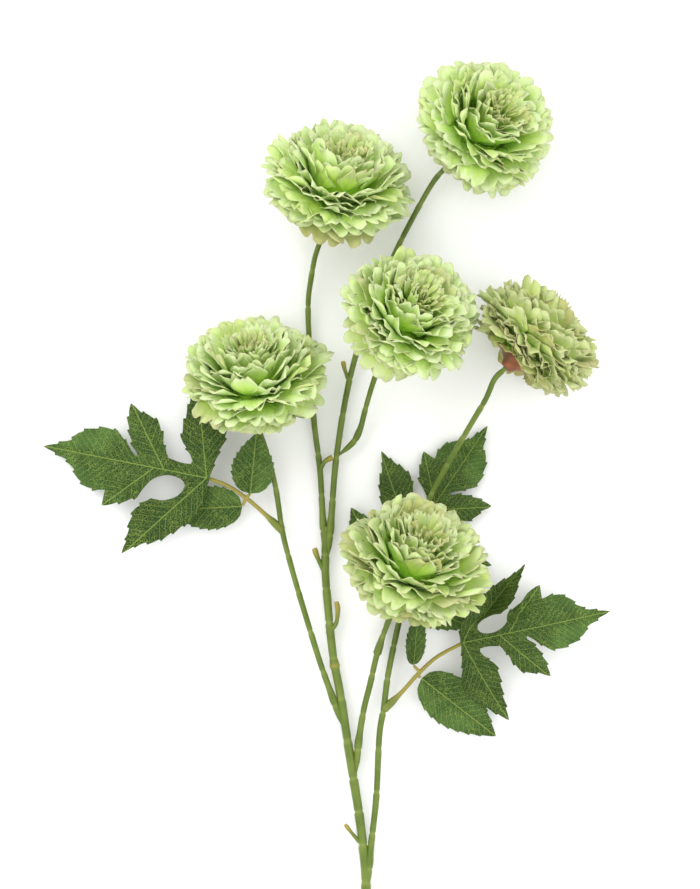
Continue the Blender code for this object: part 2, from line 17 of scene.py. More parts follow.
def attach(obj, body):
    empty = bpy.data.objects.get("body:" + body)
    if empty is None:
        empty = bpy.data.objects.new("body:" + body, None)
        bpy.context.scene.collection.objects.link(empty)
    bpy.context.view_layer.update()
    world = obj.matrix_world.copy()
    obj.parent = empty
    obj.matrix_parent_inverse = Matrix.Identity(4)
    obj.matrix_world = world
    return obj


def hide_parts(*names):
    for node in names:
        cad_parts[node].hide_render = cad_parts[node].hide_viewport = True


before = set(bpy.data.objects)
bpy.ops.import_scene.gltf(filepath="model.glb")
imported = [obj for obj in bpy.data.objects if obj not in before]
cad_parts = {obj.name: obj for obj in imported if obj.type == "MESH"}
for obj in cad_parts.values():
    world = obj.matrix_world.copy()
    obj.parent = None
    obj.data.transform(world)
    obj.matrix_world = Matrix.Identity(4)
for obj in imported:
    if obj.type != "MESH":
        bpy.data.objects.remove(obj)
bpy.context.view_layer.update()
MM = 0.001
print("solids:", len(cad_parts))

# %% [markdown]
# ## Choosing, reading and joining
#
# Every operator acts on what is selected, so each step starts by choosing its own object. A few helpers
# keep that choice, and the reading and moving of a mesh's points, in one place. They could be written out
# in full each time, but the steps below are easier to read when each takes one line.

# %% Helpers for choosing, reading and joining
def select_only(*things):
    """Make these objects the selection, and the first of them the active one."""
    bpy.ops.object.select_all(action="DESELECT")
    for thing in things:
        thing.select_set(True)
    bpy.context.view_layer.objects.active = things[0]


def raw_points(mesh):
    """The mesh's points as an array, in the mesh's own units."""
    flat = np.zeros(len(mesh.vertices) * 3)
    mesh.vertices.foreach_get("co", flat)
    return flat.reshape(-1, 3)


def points_of(mesh):
    """The mesh's points as an array in millimetres."""
    return raw_points(mesh) / MM


def set_points(mesh, places):
    """Move the mesh's points to these places in millimetres."""
    mesh.vertices.foreach_set("co", (np.asarray(places) * MM).ravel())
    mesh.update()


def set_values(mesh, name, values):
    """Store one number for each point, for a material to read."""
    layer = mesh.attributes.get(name) or mesh.attributes.new(name, "FLOAT", "POINT")
    layer.data.foreach_set("value", np.asarray(values, dtype=float))


def values_of(mesh, name):
    """The numbers stored under this name, one for each point."""
    values = np.zeros(len(mesh.vertices))
    mesh.attributes[name].data.foreach_get("value", values)
    return values


def join(pieces, name):
    """Make one object of these, and name it."""
    select_only(*pieces)
    bpy.ops.object.join()
    whole = bpy.context.object
    whole.name = name
    whole.data.name = name
    return whole


def copy_of(thing):
    """A copy with its own mesh."""
    twin = thing.copy()
    twin.data = thing.data.copy()
    bpy.context.scene.collection.objects.link(twin)
    return twin


print("one millimetre is", MM, "of the scene's units")

# %% Helpers for smooth curves
CURVE_STEPS = 40  # points worked out between two given ones, before they are spaced evenly


def smoothstep(low, high, x):
    """Rise gently from 0 at low to 1 at high."""
    t = np.clip((x - low) / (high - low), 0.0, 1.0)
    return t * t * (3 - 2 * t)


def bezier(start, middle, end, t):
    """Points on a quadratic curve, and the way it runs there, in the plane (out, up)."""
    t = t[:, None]
    place = (1 - t) ** 2 * start + 2 * t * (1 - t) * middle + t ** 2 * end
    way = 2 * (1 - t) * (middle - start) + 2 * t * (end - middle)
    return place, way / np.linalg.norm(way, axis=1)[:, None]


def at_distances(path, run, wanted):
    """The places on a path at these distances along it."""
    return np.stack([np.interp(wanted, run, path[:, k]) for k in range(path.shape[1])], axis=1)


def curve_stretch(a, b, c, d, t):
    """The stretch from b to c of a smooth curve through four places."""
    bend = 2 * a - 5 * b + 4 * c - d
    turn = 3 * b - a - 3 * c + d
    return 0.5 * (2 * b + (c - a) * t + bend * t ** 2 + turn * t ** 3)


def smooth_path(points, step):
    """Evenly spaced points on a smooth curve through the given ones, and their distances along it."""
    points = np.array(points, dtype=float)
    ends = np.vstack([2 * points[0] - points[1], points, 2 * points[-1] - points[-2]])
    t = np.linspace(0, 1, CURVE_STEPS, endpoint=False)[:, None]
    stretches = [curve_stretch(*four, t) for four in zip(ends, ends[1:], ends[2:], ends[3:])]
    fine = np.vstack([*stretches, points[-1:]])
    run = np.concatenate([[0], np.cumsum(np.linalg.norm(np.diff(fine, axis=0), axis=1))])
    spaced = np.linspace(0, run[-1], max(3, int(run[-1] / step) + 1))
    return at_distances(fine, run, spaced), spaced


print("length of a test curve:", round(smooth_path([(0, 0), (10, 5), (20, 0)], 1.0)[1][-1], 2))

# %% [markdown]
# ## Petal cloth
#
# The petals are thin woven polyester, dyed through: fresh green at the root, pale mint at the rim, and a
# faint pinkish-tan line where the hot cutter sealed the edge. The colour follows five numbers that each
# petal's points carry: how far along and how far across the petal they are, how near its rim, how old it
# is, and a tone of its own. A picture could hold this too, but numbers on the points stay with each petal
# however it is bent.

# %% Material helpers
def new_material(name):
    made = bpy.data.materials.new(name)
    made.use_nodes = True
    made.node_tree.nodes.clear()
    shader = made.node_tree.nodes.new("ShaderNodeBsdfPrincipled")
    out = made.node_tree.nodes.new("ShaderNodeOutputMaterial")
    made.node_tree.links.new(shader.outputs[0], out.inputs["Surface"])
    return made, shader


def plug(made, socket, value):
    """Give a socket a value, or link another node's output to it."""
    if isinstance(value, bpy.types.NodeSocket):
        made.node_tree.links.new(value, socket)
    else:
        socket.default_value = value


def node(made, kind, settings=None, **inputs):
    """Add a node. Inputs are named with _ for a space, or n0, n1 and so on for their number."""
    added = made.node_tree.nodes.new(kind)
    for key, value in (settings or {}).items():
        setattr(added, key, value)
    for key, value in inputs.items():
        numbered = key[0] == "n" and key[1:].isdigit()
        plug(made, added.inputs[int(key[1:]) if numbered else key.replace("_", " ")], value)
    return added


def maths(made, operation, a, b=0.0, c=0.0):
    return node(made, "ShaderNodeMath", {"operation": operation}, n0=a, n1=b, n2=c).outputs[0]


def blend_colours(made, share, a, b):
    """Colour a where share is 0, and colour b where it is 1."""
    # Inputs 0, 6 and 7 of a Mix node are its factor and its two colours, and output 2 is the blended one
    return node(made, "ShaderNodeMix", {"data_type": "RGBA"}, n0=share, n6=a, n7=b).outputs[2]


def between(made, value, low, high, to_low=0.0, to_high=1.0):
    """Map a number smoothly from one range to another."""
    smooth = {"interpolation_type": "SMOOTHSTEP"}
    ranged = node(made, "ShaderNodeMapRange", smooth, n0=value, n1=low, n2=high, n3=to_low, n4=to_high)
    return ranged.outputs[0]


def attribute(made, name):
    return node(made, "ShaderNodeAttribute", {"attribute_name": name}).outputs["Fac"]


def linear(red, green, blue):
    """A colour from the 0 to 255 numbers of a colour picker."""
    def one(c):
        c /= 255
        return c / 12.92 if c <= 0.04045 else ((c + 0.055) / 1.055) ** 2.4
    return (one(red), one(green), one(blue), 1.0)


def bump(made, shader, height, strength, distance):
    added = node(made, "ShaderNodeBump", Strength=strength, Distance=distance, Height=height)
    made.node_tree.links.new(added.outputs[0], shader.inputs["Normal"])


def set_surface(shader, **values):
    """Set plain values on the shader. Its inputs are named with _ for a space."""
    for key, value in values.items():
        shader.inputs[key.replace("_", " ")].default_value = value


print("a middle grey in linear light:", round(linear(128, 128, 128)[0], 3))

# %% Petal material
PETAL_DEEP = linear(128, 180, 26)
PETAL_ROOT = linear(176, 222, 56)
PETAL_BODY = linear(202, 229, 116)
PETAL_RIM = linear(198, 211, 166)
PETAL_EDGE = linear(210, 184, 138)
PETAL_YELLOW = linear(184, 206, 58)
PETAL_OLD = linear(160, 154, 88)
# Each dye over the deep one: where along the petal it begins, where it is full, and its share there
PETAL_DYES = (
    (PETAL_ROOT, -0.02, 0.24, 1.0),
    (PETAL_BODY, 0.22, 0.62, 1.0),
    (PETAL_RIM, 0.50, 1.0, 0.95),
)
DYE_DRIFT = 0.08  # how far the dyes ran to either side of these places
PLEATS_ACROSS = 5.0  # how much finer the pleats are across a petal than along it
PETALS_APART = 23.0  # how far the petals' pleats are spread in the noise, over all the tones
# Painted shade in the pleats: the range of the pleat noise over which the petal darkens, and its share at
# most
PLEAT_SHADE_RANGE = (0.42, 0.66)
PLEAT_SHADE_SHARE = 0.30
YELLOW_TONES = (0.55, 1.0)
YELLOW_SHARE = 0.30
OLD_PART = (0.3, 0.9)
EDGE_RIM = (0.93, 1.0)
EDGE_PART = (0.45, 0.75)
EDGE_SHARE = 0.45


def petal_material():
    made, shader = new_material("petal_cloth")
    names = ("along", "across", "rim", "tone", "age")
    along, across, rim, tone, age = (attribute(made, name) for name in names)
    coords = node(made, "ShaderNodeTexCoord").outputs["Object"]
    streaks = node(made, "ShaderNodeTexNoise", Vector=coords, Scale=420.0, Detail=3.0).outputs["Fac"]
    drift = maths(made, "MULTIPLY_ADD", streaks, 2 * DYE_DRIFT, -DYE_DRIFT)
    reach = maths(made, "ADD", along, drift)
    colour = PETAL_DEEP
    for dye, begins, full, share in PETAL_DYES:
        colour = blend_colours(made, between(made, reach, begins, full, 0.0, share), colour, dye)
    spread = maths(made, "MULTIPLY", across, PLEATS_ACROSS)
    own = maths(made, "MULTIPLY", tone, PETALS_APART)
    on_petal = node(made, "ShaderNodeCombineXYZ", n0=spread, n1=along, n2=own).outputs[0]
    pleats = node(made, "ShaderNodeTexNoise", Vector=on_petal, Scale=1.6, Detail=2.0).outputs["Fac"]
    # Painted shade in the folds of the pleats: the petal is darkened towards its root green there
    pleat_shade = between(made, pleats, *PLEAT_SHADE_RANGE, 0.0, PLEAT_SHADE_SHARE)
    colour = blend_colours(made, pleat_shade, colour, PETAL_ROOT)
    sunned = between(made, tone, *YELLOW_TONES, 0.0, YELLOW_SHARE)
    colour = blend_colours(made, sunned, colour, PETAL_YELLOW)
    old = maths(made, "MULTIPLY", age, between(made, reach, *OLD_PART))
    colour = blend_colours(made, old, colour, PETAL_OLD)
    edge = maths(made, "MULTIPLY", between(made, rim, *EDGE_RIM), between(made, along, *EDGE_PART))
    colour = blend_colours(made, maths(made, "MULTIPLY", edge, EDGE_SHARE), colour, PETAL_EDGE)
    plug(made, shader.inputs["Base Color"], colour)
    set_surface(shader, Roughness=0.62, Specular_IOR_Level=0.25, Sheen_Weight=0.15, Sheen_Roughness=0.5)
    bump(made, shader, pleats, strength=0.45, distance=0.0012)
    return made


petal_cloth = petal_material()
print("petal cloth:", len(petal_cloth.node_tree.nodes), "nodes")

# %% [markdown]
# ## The petals, modelled flat
#
# Each layer of the head is a punched disc whose petals end in two to four round scallops, and the layers
# nearest the middle end in pointed teeth or in narrow straps instead. One petal of each kind is modelled
# flat, from a grid whose rows and columns are moved to the punched outline. The grid keeps even faces, so
# each copy can be curled afterwards. A traced outline filled with faces would crease when bent.

# %% One flat petal of each kind
# Columns, rows, half width in millimetres, number of lobes, depth of the notches, and whether they are teeth
PETAL_KINDS = {
    "broad": (18, 7, 14.0, 3, 0.17, False),
    "frilled": (20, 7, 14.0, 4, 0.14, False),
    "double": (12, 7, 10.0, 2, 0.16, False),
    "toothed": (10, 7, 7.0, 5, 0.12, True),
    "strap": (2, 6, 1.9, 1, 0.0, False),
}
ROOT_WIDTH = 0.16  # the root's share of the petal's width
WIDEST = 0.72  # where along the petal it is widest
NARROWS_FROM = 0.85
NARROWS_BY = 0.10
CORNER_DROP = 0.16  # how much shorter the petal is at its two corners
STRAP_DROP = 0.12
SCALLOP_POWER = 0.42  # below 1, so that the scallops are round and the notches between them are narrow
TIP_STARTS = 0.15
RIM_ALONG = 0.72
RIM_ACROSS = 0.80


def petal_tip(kind, across):
    """How far the petal reaches at each place across it, as a share of its length."""
    lobes, notch, toothed = PETAL_KINDS[kind][3:]
    if lobes == 1:
        return 1 - STRAP_DROP * np.abs(across)
    if toothed:
        wave = 1 - np.abs(2 * ((lobes * (across + 1) / 2) % 1.0) - 1)
    else:
        wave = np.abs(np.sin(np.pi * lobes * (across + 1) / 2)) ** SCALLOP_POWER
    return 1 - CORNER_DROP * across ** 2 - notch * (1 - wave)


def flat_petal(kind):
    """A petal on the plane z = 0. Its root is at the origin, and its rim at y = 1 until it is curled."""
    columns, rows, half = PETAL_KINDS[kind][:3]
    bpy.ops.object.select_all(action="DESELECT")
    bpy.ops.mesh.primitive_grid_add(x_subdivisions=columns, y_subdivisions=rows, size=2.0)
    thing = bpy.context.object
    places = raw_points(thing.data)
    across, along = places[:, 0], (places[:, 1] + 1) / 2
    width = half * (ROOT_WIDTH + (1 - ROOT_WIDTH) * smoothstep(0.0, WIDEST, along))
    width = width * (1 - NARROWS_BY * smoothstep(NARROWS_FROM, 1.0, along))
    shaped = np.zeros_like(places)
    shaped[:, 0] = across * width
    shaped[:, 1] = along * (1 + (petal_tip(kind, across) - 1) * smoothstep(TIP_STARTS, 1.0, along))
    thing.data.vertices.foreach_set("co", shaped.ravel())
    rim = np.maximum(smoothstep(RIM_ALONG, 1.0, along), smoothstep(RIM_ACROSS, 1.0, np.abs(across)))
    for name, values in (("along", along), ("across", across), ("rim", rim)):
        set_values(thing.data, name, values)
    thing.data.materials.append(petal_cloth)
    bpy.ops.object.shade_smooth()
    return thing


flat = {kind: flat_petal(kind) for kind in PETAL_KINDS}
print({kind: len(thing.data.polygons) for kind, thing in flat.items()})

# %% [markdown]
# ## Where the heads and their petals are
#
# Each head is a flattened ball of petals in rings, made round its own axis and then leaned to the side
# that its face looks. The places and radii are those of the solids. The rings could be spaced by a
# formula, but the real layers differ in cut and stance, so a row for each ring keeps them easy to compare
# with the photograph.

# %% The heads, as the frame has them
HEADS = {
    "upper_left": {"centre": (7.3, 179.0, 32.0), "lean": 56, "facing": 74, "radius": 38.0},
    "top_right": {"centre": (81.3, 207.5, 27.1), "lean": 40, "facing": 47, "radius": 36.5},
    "middle": {"centre": (43.5, 113.0, 50.0), "lean": 42, "facing": 56, "radius": 35.5},
    "left": {"centre": (-34.3, 82.5, 31.3), "lean": 55, "facing": 94, "radius": 37.5},
    "right": {"centre": (105.5, 101.5, 33.3), "lean": 95, "facing": 45, "radius": 35.0},
    "lower": {"centre": (45.8, -10.0, 45.5), "lean": 50, "facing": 66, "radius": 38.5},
}
CROWN_RISE = 0.74
SKIRT_DROP = 0.62
RUFFLES = {"strap": 0.3, "toothed": 0.8, "double": 1.2, "broad": 1.5, "frilled": 1.6}

# Rings from the middle of the face to the skirt: kind, degrees from the axis where the tips lie, petals,
# share of the outline reached, how far out and how high the roots sit, and the degrees that petals arch.
# The crown's petals stand up from a wide foot, and a cleft is left between them and the skirt's.
RINGS = (
    ("strap", 4, 8, 0.84, 2.0, 6.0, 0),
    ("strap", 11, 12, 0.90, 2.5, 6.0, 2),
    ("strap", 18, 13, 0.92, 3.5, 5.0, 4),
    ("toothed", 24, 9, 0.94, 5.0, 3.0, 3),
    ("double", 33, 9, 0.97, 8.0, 0.0, 3),
    ("broad", 42, 8, 1.00, 10.0, -2.0, 4),
    ("broad", 51, 9, 1.01, 11.0, -3.5, 5),
    ("broad", 61, 10, 1.01, 11.0, -4.5, -7),
    ("broad", 70, 10, 1.02, 11.0, -5.0, -10),
    ("broad", 79, 11, 1.03, 11.0, -6.0, -14),
    ("broad", 88, 11, 1.03, 10.0, -7.0, -17),
    ("broad", 97, 11, 1.03, 10.0, -7.5, -19),
    ("broad", 105, 10, 1.02, 10.0, -8.0, -20),
    ("broad", 113, 10, 1.00, 9.0, -9.0, -22),
    ("broad", 121, 9, 0.97, 9.0, -10.0, -24),
    ("double", 130, 9, 0.90, 9.0, -10.5, -22),
    ("double", 138, 8, 0.86, 9.0, -11.0, -18),
)
# Heads whose petals are all blended further towards the dull tan
DULLER_HEADS = {"right": 0.34, "lower": 0.14}  # heads that have faded
# Petals that hang loose below a head: degrees from the axis, turn round it, and share of the outline reached
STRAYS = {
    "upper_left": ((118, -92, 1.10), (112, -60, 1.10)),
    "top_right": ((100, 150, 1.08), (108, -40, 1.07)),
    "middle": ((120, -100, 1.20), (124, -74, 1.22), (112, -128, 1.12)),
    "left": ((84, 8, 1.12), (110, -120, 1.06)),
    "right": ((118, -95, 1.16), (112, -140, 1.12), (120, -60, 1.14)),
    "lower": ((92, -20, 1.08), (116, -110, 1.06)),
}


def head_frame(head):
    """The head's own frame in millimetres: +Z is the way its face looks."""
    turn = Matrix.Rotation(math.radians(head["facing"] - 90), 3, "Z")
    lean = Matrix.Rotation(math.radians(-head["lean"]), 3, "X")
    made = (turn @ lean).to_4x4()
    made.translation = Vector(head["centre"])
    return made


def outline_reach(angle, radius):
    """From the head's middle to its outline, at an angle from its axis."""
    rise = radius * (CROWN_RISE if math.cos(angle) > 0 else SKIRT_DROP)
    return 1 / math.hypot(math.sin(angle) / radius, math.cos(angle) / rise)


def put_on_head(thing, head):
    """Move a mesh that was made round the head's axis to where the head lies."""
    place = head_frame(head)
    place.translation = place.translation * MM
    thing.data.transform(place)


print("petals in each head, without the loose ones:", sum(ring[2] for ring in RINGS))

# %% [markdown]
# ## Curling a petal into its place
#
# A hot ball tool gives each real petal its curl: it leaves the core, arches over, and its scallops cup
# and ruffle. The same is done here to each copy. Its middle line follows a curve from the core to the
# outline of the head, and its width is wrapped round the head's axis with a cup and a ruffle on top. A
# cloth simulation of a thousand petals would give the same look in hours.

# %% Curl one petal
CURVE_MIDDLE = 0.55  # how far along its length a petal's curve has its middle
FLAT_UNTIL = 0.25  # the share of its length that a petal stays flat
CUPS = (-0.9, 1.7)
CUP_DEPTH = 2.2
WAVES = (1.2, 2.4)  # waves of the ruffle across a petal
RIPPLE = 0.45  # a finer ruffle near the rim, as a share of the first
RIPPLE_WAVES = 2.3  # its waves for each wave of the first
CROWN_ROLLS = (0.0, 5.0)  # millimetres that the rim of a crown petal rolls outwards
SKIRT_ROLLS = (-1.4, 3.2)  # and that of a skirt petal, upwards, or of an innermost strap
ROLL_STARTS = 0.55
PLEAT_HEIGHT = 0.4
PLEATS = (3.5, 5.5)  # fine pleats across a petal
TWIST = 0.22
WRAP_RADIUS = 9.0  # the smallest radius that a petal wraps round
WRAP_SHARE = 0.75  # the rest of the width stays flat, as real petals are flatter than their ring


def ruffled(draw, across, along, ruffle, arch):
    """How far each place of a petal stands off its curve: cup, ruffles, pleats and rolled rim together."""
    lift = smoothstep(FLAT_UNTIL, 1.0, along)
    phase = draw.uniform(0, 2 * math.pi)
    waves = draw.uniform(*WAVES)
    cup = draw.uniform(*CUPS) * across ** 2 * lift
    wave = ruffle * lift * np.sin(waves * math.pi * across + phase)
    ripple = RIPPLE * ruffle * lift ** 3 * np.sin(RIPPLE_WAVES * waves * math.pi * across + 2 * phase)
    rolls = CROWN_ROLLS if arch > 0 else SKIRT_ROLLS
    roll = draw.uniform(*rolls) * smoothstep(ROLL_STARTS, 1.0, along)
    pleat = PLEAT_HEIGHT * lift * np.sin(draw.uniform(*PLEATS) * math.pi * across + 3 * phase)
    return cup * CUP_DEPTH + wave + ripple + pleat + roll


def curl(thing, draw, angle, turn, reach, root, arch, squeeze, ruffle):
    """Bend a flat petal from its root near the axis to its tip on the outline."""
    mesh = thing.data
    places = raw_points(mesh)
    side, along = places[:, 0] * squeeze, places[:, 1]
    root = np.array(root)
    tip = np.array([math.sin(angle), math.cos(angle)]) * reach
    length = np.linalg.norm(tip - root)
    leave = math.atan2(*(tip - root)) + math.radians(arch)
    middle = root + CURVE_MIDDLE * length * np.array([math.sin(leave), math.cos(leave)])
    spine, way = bezier(root, middle, tip, along)
    normal = np.stack([way[:, 1], -way[:, 0]], axis=1) * (-1 if arch < 0 else 1)
    bulge = ruffled(draw, values_of(mesh, "across"), along, ruffle, arch)
    twist = draw.gauss(0, TWIST)
    out = spine[:, 0] + normal[:, 0] * bulge
    up = spine[:, 1] + normal[:, 1] * bulge + side * twist * smoothstep(FLAT_UNTIL, 1.0, along)
    wrap = side / np.maximum(out, WRAP_RADIUS) * WRAP_SHARE
    x = out * np.cos(wrap)
    y = out * np.sin(wrap) + (1 - WRAP_SHARE) * side
    c, s = math.cos(turn), math.sin(turn)
    set_points(mesh, np.stack([x * c - y * s, x * s + y * c, up], axis=1))


print("pleats across a petal:", PLEATS, "waves of its ruffle:", WAVES)

# %% [markdown]
# ## Filling a head
#
# No two petals of a cloth head stand alike, because each was bent by hand. So the plan of a head shifts
# every petal a little from its ring, and on one side the crown stands straighter and the skirt hangs
# lower, which opens the cleft that shows in the photograph. The same seed gives the same head on each
# run. The petals could be scattered with a particle system, but then their roots and reach couldn't be
# set ring by ring.

# %% Plan the petals of one head
CROWN_EDGE = 58  # degrees from the axis, where the crown ends and the skirt begins
CROWN_SPREAD = 4.2
SKIRT_SPREAD = 3.4
TURN_SPREAD = 0.38  # of the space that a petal has in its ring
REACHES = (0.86, 1.05)
CLEFT_SIDE = -90  # degrees round the axis, to the side where the cleft is
CLEFT_POWER = 1.3
CLEFT_SPREAD = (0.5, 1.15)
CROWN_RISES = 0.34  # the share of its lean that a crown petal loses there
SKIRT_SINKS = 6.0  # the degrees that a skirt petal gains there
SKIRT_END = 120
SKIRT_SPAN = 58
BROAD_CUTS = ("broad", "broad", "frilled", "double")
STRAY_ROOT = (9.0, -9.5)
STRAY_ARCH = -20


def plan_petals(name, draw):
    """Each petal of a head: its cut, lean, turn, share of the outline reached, root and arch."""
    plan = []
    for kind, degrees, count, share, out, up, arch in RINGS:
        in_crown = degrees < CROWN_EDGE
        sinks = SKIRT_SINKS * (SKIRT_END - degrees) / SKIRT_SPAN
        shift = draw.uniform(0, 1)
        for k in range(count):
            lean = degrees + draw.gauss(0, CROWN_SPREAD if in_crown else SKIRT_SPREAD)
            turn = 2 * math.pi * (k + shift + draw.uniform(-TURN_SPREAD, TURN_SPREAD)) / count
            reach = share * draw.uniform(*REACHES)
            near = max(0.0, math.cos(turn - math.radians(CLEFT_SIDE))) ** CLEFT_POWER
            near = near * draw.uniform(*CLEFT_SPREAD)
            lean += near * (-CROWN_RISES * lean if in_crown else sinks)
            cut = draw.choice(BROAD_CUTS) if kind == "broad" else kind
            plan.append((cut, lean, turn, reach, (out, up), arch))
    for degrees, turn, share in STRAYS[name]:
        plan.append(("broad", degrees, math.radians(turn), share, STRAY_ROOT, STRAY_ARCH))
    return plan


print("petals planned for the middle head:", len(plan_petals("middle", random.Random(0))))

# %% Place the petals and the heart
PETAL_THICK = 0.15
USUAL_RADIUS = 37.0  # the head that the flat petals' widths are meant for
WIDTHS = (0.85, 1.12)
AMOUNTS = (0.6, 1.4)  # how much of its kind's ruffle and of its ring's arch a petal has
STRAP_TONE = 0.95
OLD_FROM = 96  # degrees from the axis, beyond which the petals are the older ones
OLD_SPAN = 25
OLD_SPREAD = (0.2, 1.0)
OLD_MOST = 0.4
SPOILT_CHANCE = 0.06
SPOILT_AGE = 0.4
HEART_SHARE = 0.35
HEART_DROP = 6.0
HEART_SQUASH = 0.55


def place_petal(draw, name, radius, kind, degrees, turn, share, root, arch):
    petal = copy_of(flat[kind])
    angle = math.radians(degrees)
    reach = outline_reach(angle, radius) * share
    squeeze = draw.uniform(*WIDTHS) * radius / USUAL_RADIUS
    ruffle = RUFFLES[kind] * draw.uniform(*AMOUNTS)
    curl(petal, draw, angle, turn, reach, root, arch * draw.uniform(*AMOUNTS), squeeze, ruffle)
    points = len(petal.data.vertices)
    tone = STRAP_TONE if kind == "strap" else draw.random()
    set_values(petal.data, "tone", np.full(points, tone))
    age = max(0.0, (degrees - OLD_FROM) / OLD_SPAN) * draw.uniform(*OLD_SPREAD) * OLD_MOST
    age += (draw.random() < SPOILT_CHANCE) * SPOILT_AGE
    set_values(petal.data, "age", np.full(points, min(1.0, age + DULLER_HEADS.get(name, 0.0))))
    return petal


def make_heart(radius):
    """The closed core that the petals leave from."""
    bpy.ops.object.select_all(action="DESELECT")
    bpy.ops.mesh.primitive_uv_sphere_add(segments=20, ring_count=12, radius=radius * HEART_SHARE * MM)
    heart = bpy.context.object
    squash = Matrix.Diagonal((1, 1, HEART_SQUASH, 1))
    heart.data.transform(Matrix.Translation((0, 0, -HEART_DROP * MM)) @ squash)
    bpy.ops.object.shade_smooth()
    heart.data.materials.append(petal_cloth)
    for value in ("along", "rim", "tone", "age", "across"):
        set_values(heart.data, value, np.zeros(len(heart.data.vertices)))
    return heart


print("hearts:", {name: round(head["radius"] * HEART_SHARE, 1) for name, head in HEADS.items()})

# %% Make the six heads
BEND_LEVEL = 1.5  # millimetres above the table, below which petals bend flat
LOWEST = 0.15
BEND_SOFTNESS = 2.5


def thicken(thing, thickness):
    """Give a sheet its thickness, half to each side."""
    select_only(thing)
    made = thing.modifiers.new("cloth", "SOLIDIFY")
    made.thickness = thickness * MM
    made.offset = 0.0
    bpy.ops.object.modifier_apply(modifier=made.name)


def declare(thing, node_name):
    """Attach this piece to the frame's root, and hide the solid that it replaces."""
    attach(thing, "root")
    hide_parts(node_name)
    return thing


def bend_on_table(whole):
    """Keep the head above the table: the petals that reach it bend flat on it."""
    places = points_of(whole.data)
    low = places[:, 2] < BEND_LEVEL
    drop = np.exp((places[low, 2] - BEND_LEVEL) / BEND_SOFTNESS)
    places[low, 2] = LOWEST + (BEND_LEVEL - LOWEST) * drop
    set_points(whole.data, places)


def make_head(name, head, seed):
    draw = random.Random(seed)
    petals = [place_petal(draw, name, head["radius"], *row) for row in plan_petals(name, draw)]
    whole = join(petals, f"petals_{name}")
    thicken(whole, PETAL_THICK)
    whole = join([whole, make_heart(head["radius"])], f"petals_{name}")
    put_on_head(whole, head)
    bend_on_table(whole)
    return declare(whole, f"bloom_{name}")


heads = [make_head(name, head, seed) for seed, (name, head) in enumerate(HEADS.items())]
for thing in flat.values():
    bpy.data.objects.remove(thing)
print({thing.name: sum(len(p.vertices) - 2 for p in thing.data.polygons) for thing in heads})

# %% [markdown]
# ## Leaves
#
# All three lobed leaves are punched from one die and pressed with veins, and the leaflets are pointed
# ovals of several sizes. Each blade is cut here as a flat outline, filled, and then sliced by a lattice
# of planes, so that it has points enough to bend. It could be painted on a rectangle with a cut-out
# picture, but then its toothed edge would be no shape at all. One lobed blade is made and copied for each
# leaf, and each leaflet is cut at its own size.

# %% The lobed outline
# Each side of the lobed leaf: the places that it passes, its end, its teeth, and +1 where it runs towards a
# lobe's tip or -1 where it runs away from it
LEAF_START = (-1.5, -0.6)
LEAF_SIDES = (
    (((-2.9, -11.8), (-5.1, -21.6), (-4, -30.1), (2.1, -37.5)), (15, -50), 8, 1),
    (((15.6, -32.8), (16.3, -23.2), (15.4, -16.2), (10.6, -10.6)), (8.7, -7.1), 6, -1),
    (((9.1, -5.4), (14.5, -5.1)), (20.8, -6.2), 0, 1),
    (((24, -10.9), (27.2, -19), (31.5, -24), (38.5, -25.8)), (44.8, -29.5), 5, 1),
    (((44.4, -22.8), (43, -16.6), (40, -9.7)), (36.8, -5.4), 4, -1),
    (((37.1, -3.7),), (39.5, -5.7), 0, 1),
    (((45.7, -11.7), (51.3, -14.7), (58.8, -13.8), (66.8, -10.5), (72.2, -4.9)), (84.5, 0.1), 7, 1),
    (((72.7, 3.9), (67.3, 8), (63.2, 13.3), (56.6, 16.3)), (49.5, 15.6), 6, -1),
    ((), (49.6, 23.7), 0, 1),
    (((42, 20.6), (34.1, 16.6)), (30.2, 10.9), 3, -1),
    (((26.2, 5.4), (19.6, 2.4), (13, 3), (10, 6.1), (12.7, 11.6), (19.3, 15.2)), (25.7, 15.4), 0, 1),
    (((32.1, 22), (33.7, 29.2), (33.6, 36.4)), (35.1, 45.5), 5, 1),
    (((26.9, 39), (18.9, 35.7), (10.8, 29.1), (4.2, 22), (0.4, 13.4)), (-1.5, 0.6), 9, -1),
)
LEAF_LENGTH = 84.0
TOOTH = 1.25
# A tooth leans towards the tip of its lobe: it rises over nearly all its length and then drops at once
TOOTH_SHARES = np.array([0.0, 0.35, 0.70, 0.93])
TOOTH_SHAPE = np.array([0.0, 0.25, 0.62, 1.0])
TOOTH_FADE = 6  # teeth grow to their height over a sixth of the side, and shrink over the last sixth
OUTLINE_STEP = 0.25
PLAIN_STEP = 2.5  # millimetres between the points of a side without teeth
LOOK = 0.5  # how far before and behind a point its side's direction is read


def teeth_along(teeth, height):
    """Where the points of the teeth lie along a side, from 0 to 1, and how far each stands out."""
    share = (np.arange(teeth)[:, None] + TOOTH_SHARES[None, :]).ravel() / teeth
    return share, np.tile(height * TOOTH_SHAPE, teeth)


def punched_side(start, through, end, teeth, towards):
    """A smooth side through the given places, with pointed teeth on it where it has any."""
    path, run = smooth_path([start, *through, end], OUTLINE_STEP)
    length = run[-1]
    if teeth:
        share, tooth = teeth_along(teeth, TOOTH)
        if towards < 0:
            share, tooth = (1 - share)[::-1], tooth[::-1]
        tooth = tooth * np.clip(np.minimum(share, 1 - share) * TOOTH_FADE, 0.0, 1.0)
    else:
        share = np.linspace(0, 1, 2 + int(length / PLAIN_STEP), endpoint=False)
        tooth = np.zeros(len(share))
    before = at_distances(path, run, share * length - LOOK)
    way = at_distances(path, run, share * length + LOOK) - before
    way = way / np.linalg.norm(way, axis=1)[:, None]
    out = np.stack([way[:, 1], -way[:, 0]], axis=1)
    return at_distances(path, run, share * length) + tooth[:, None] * out


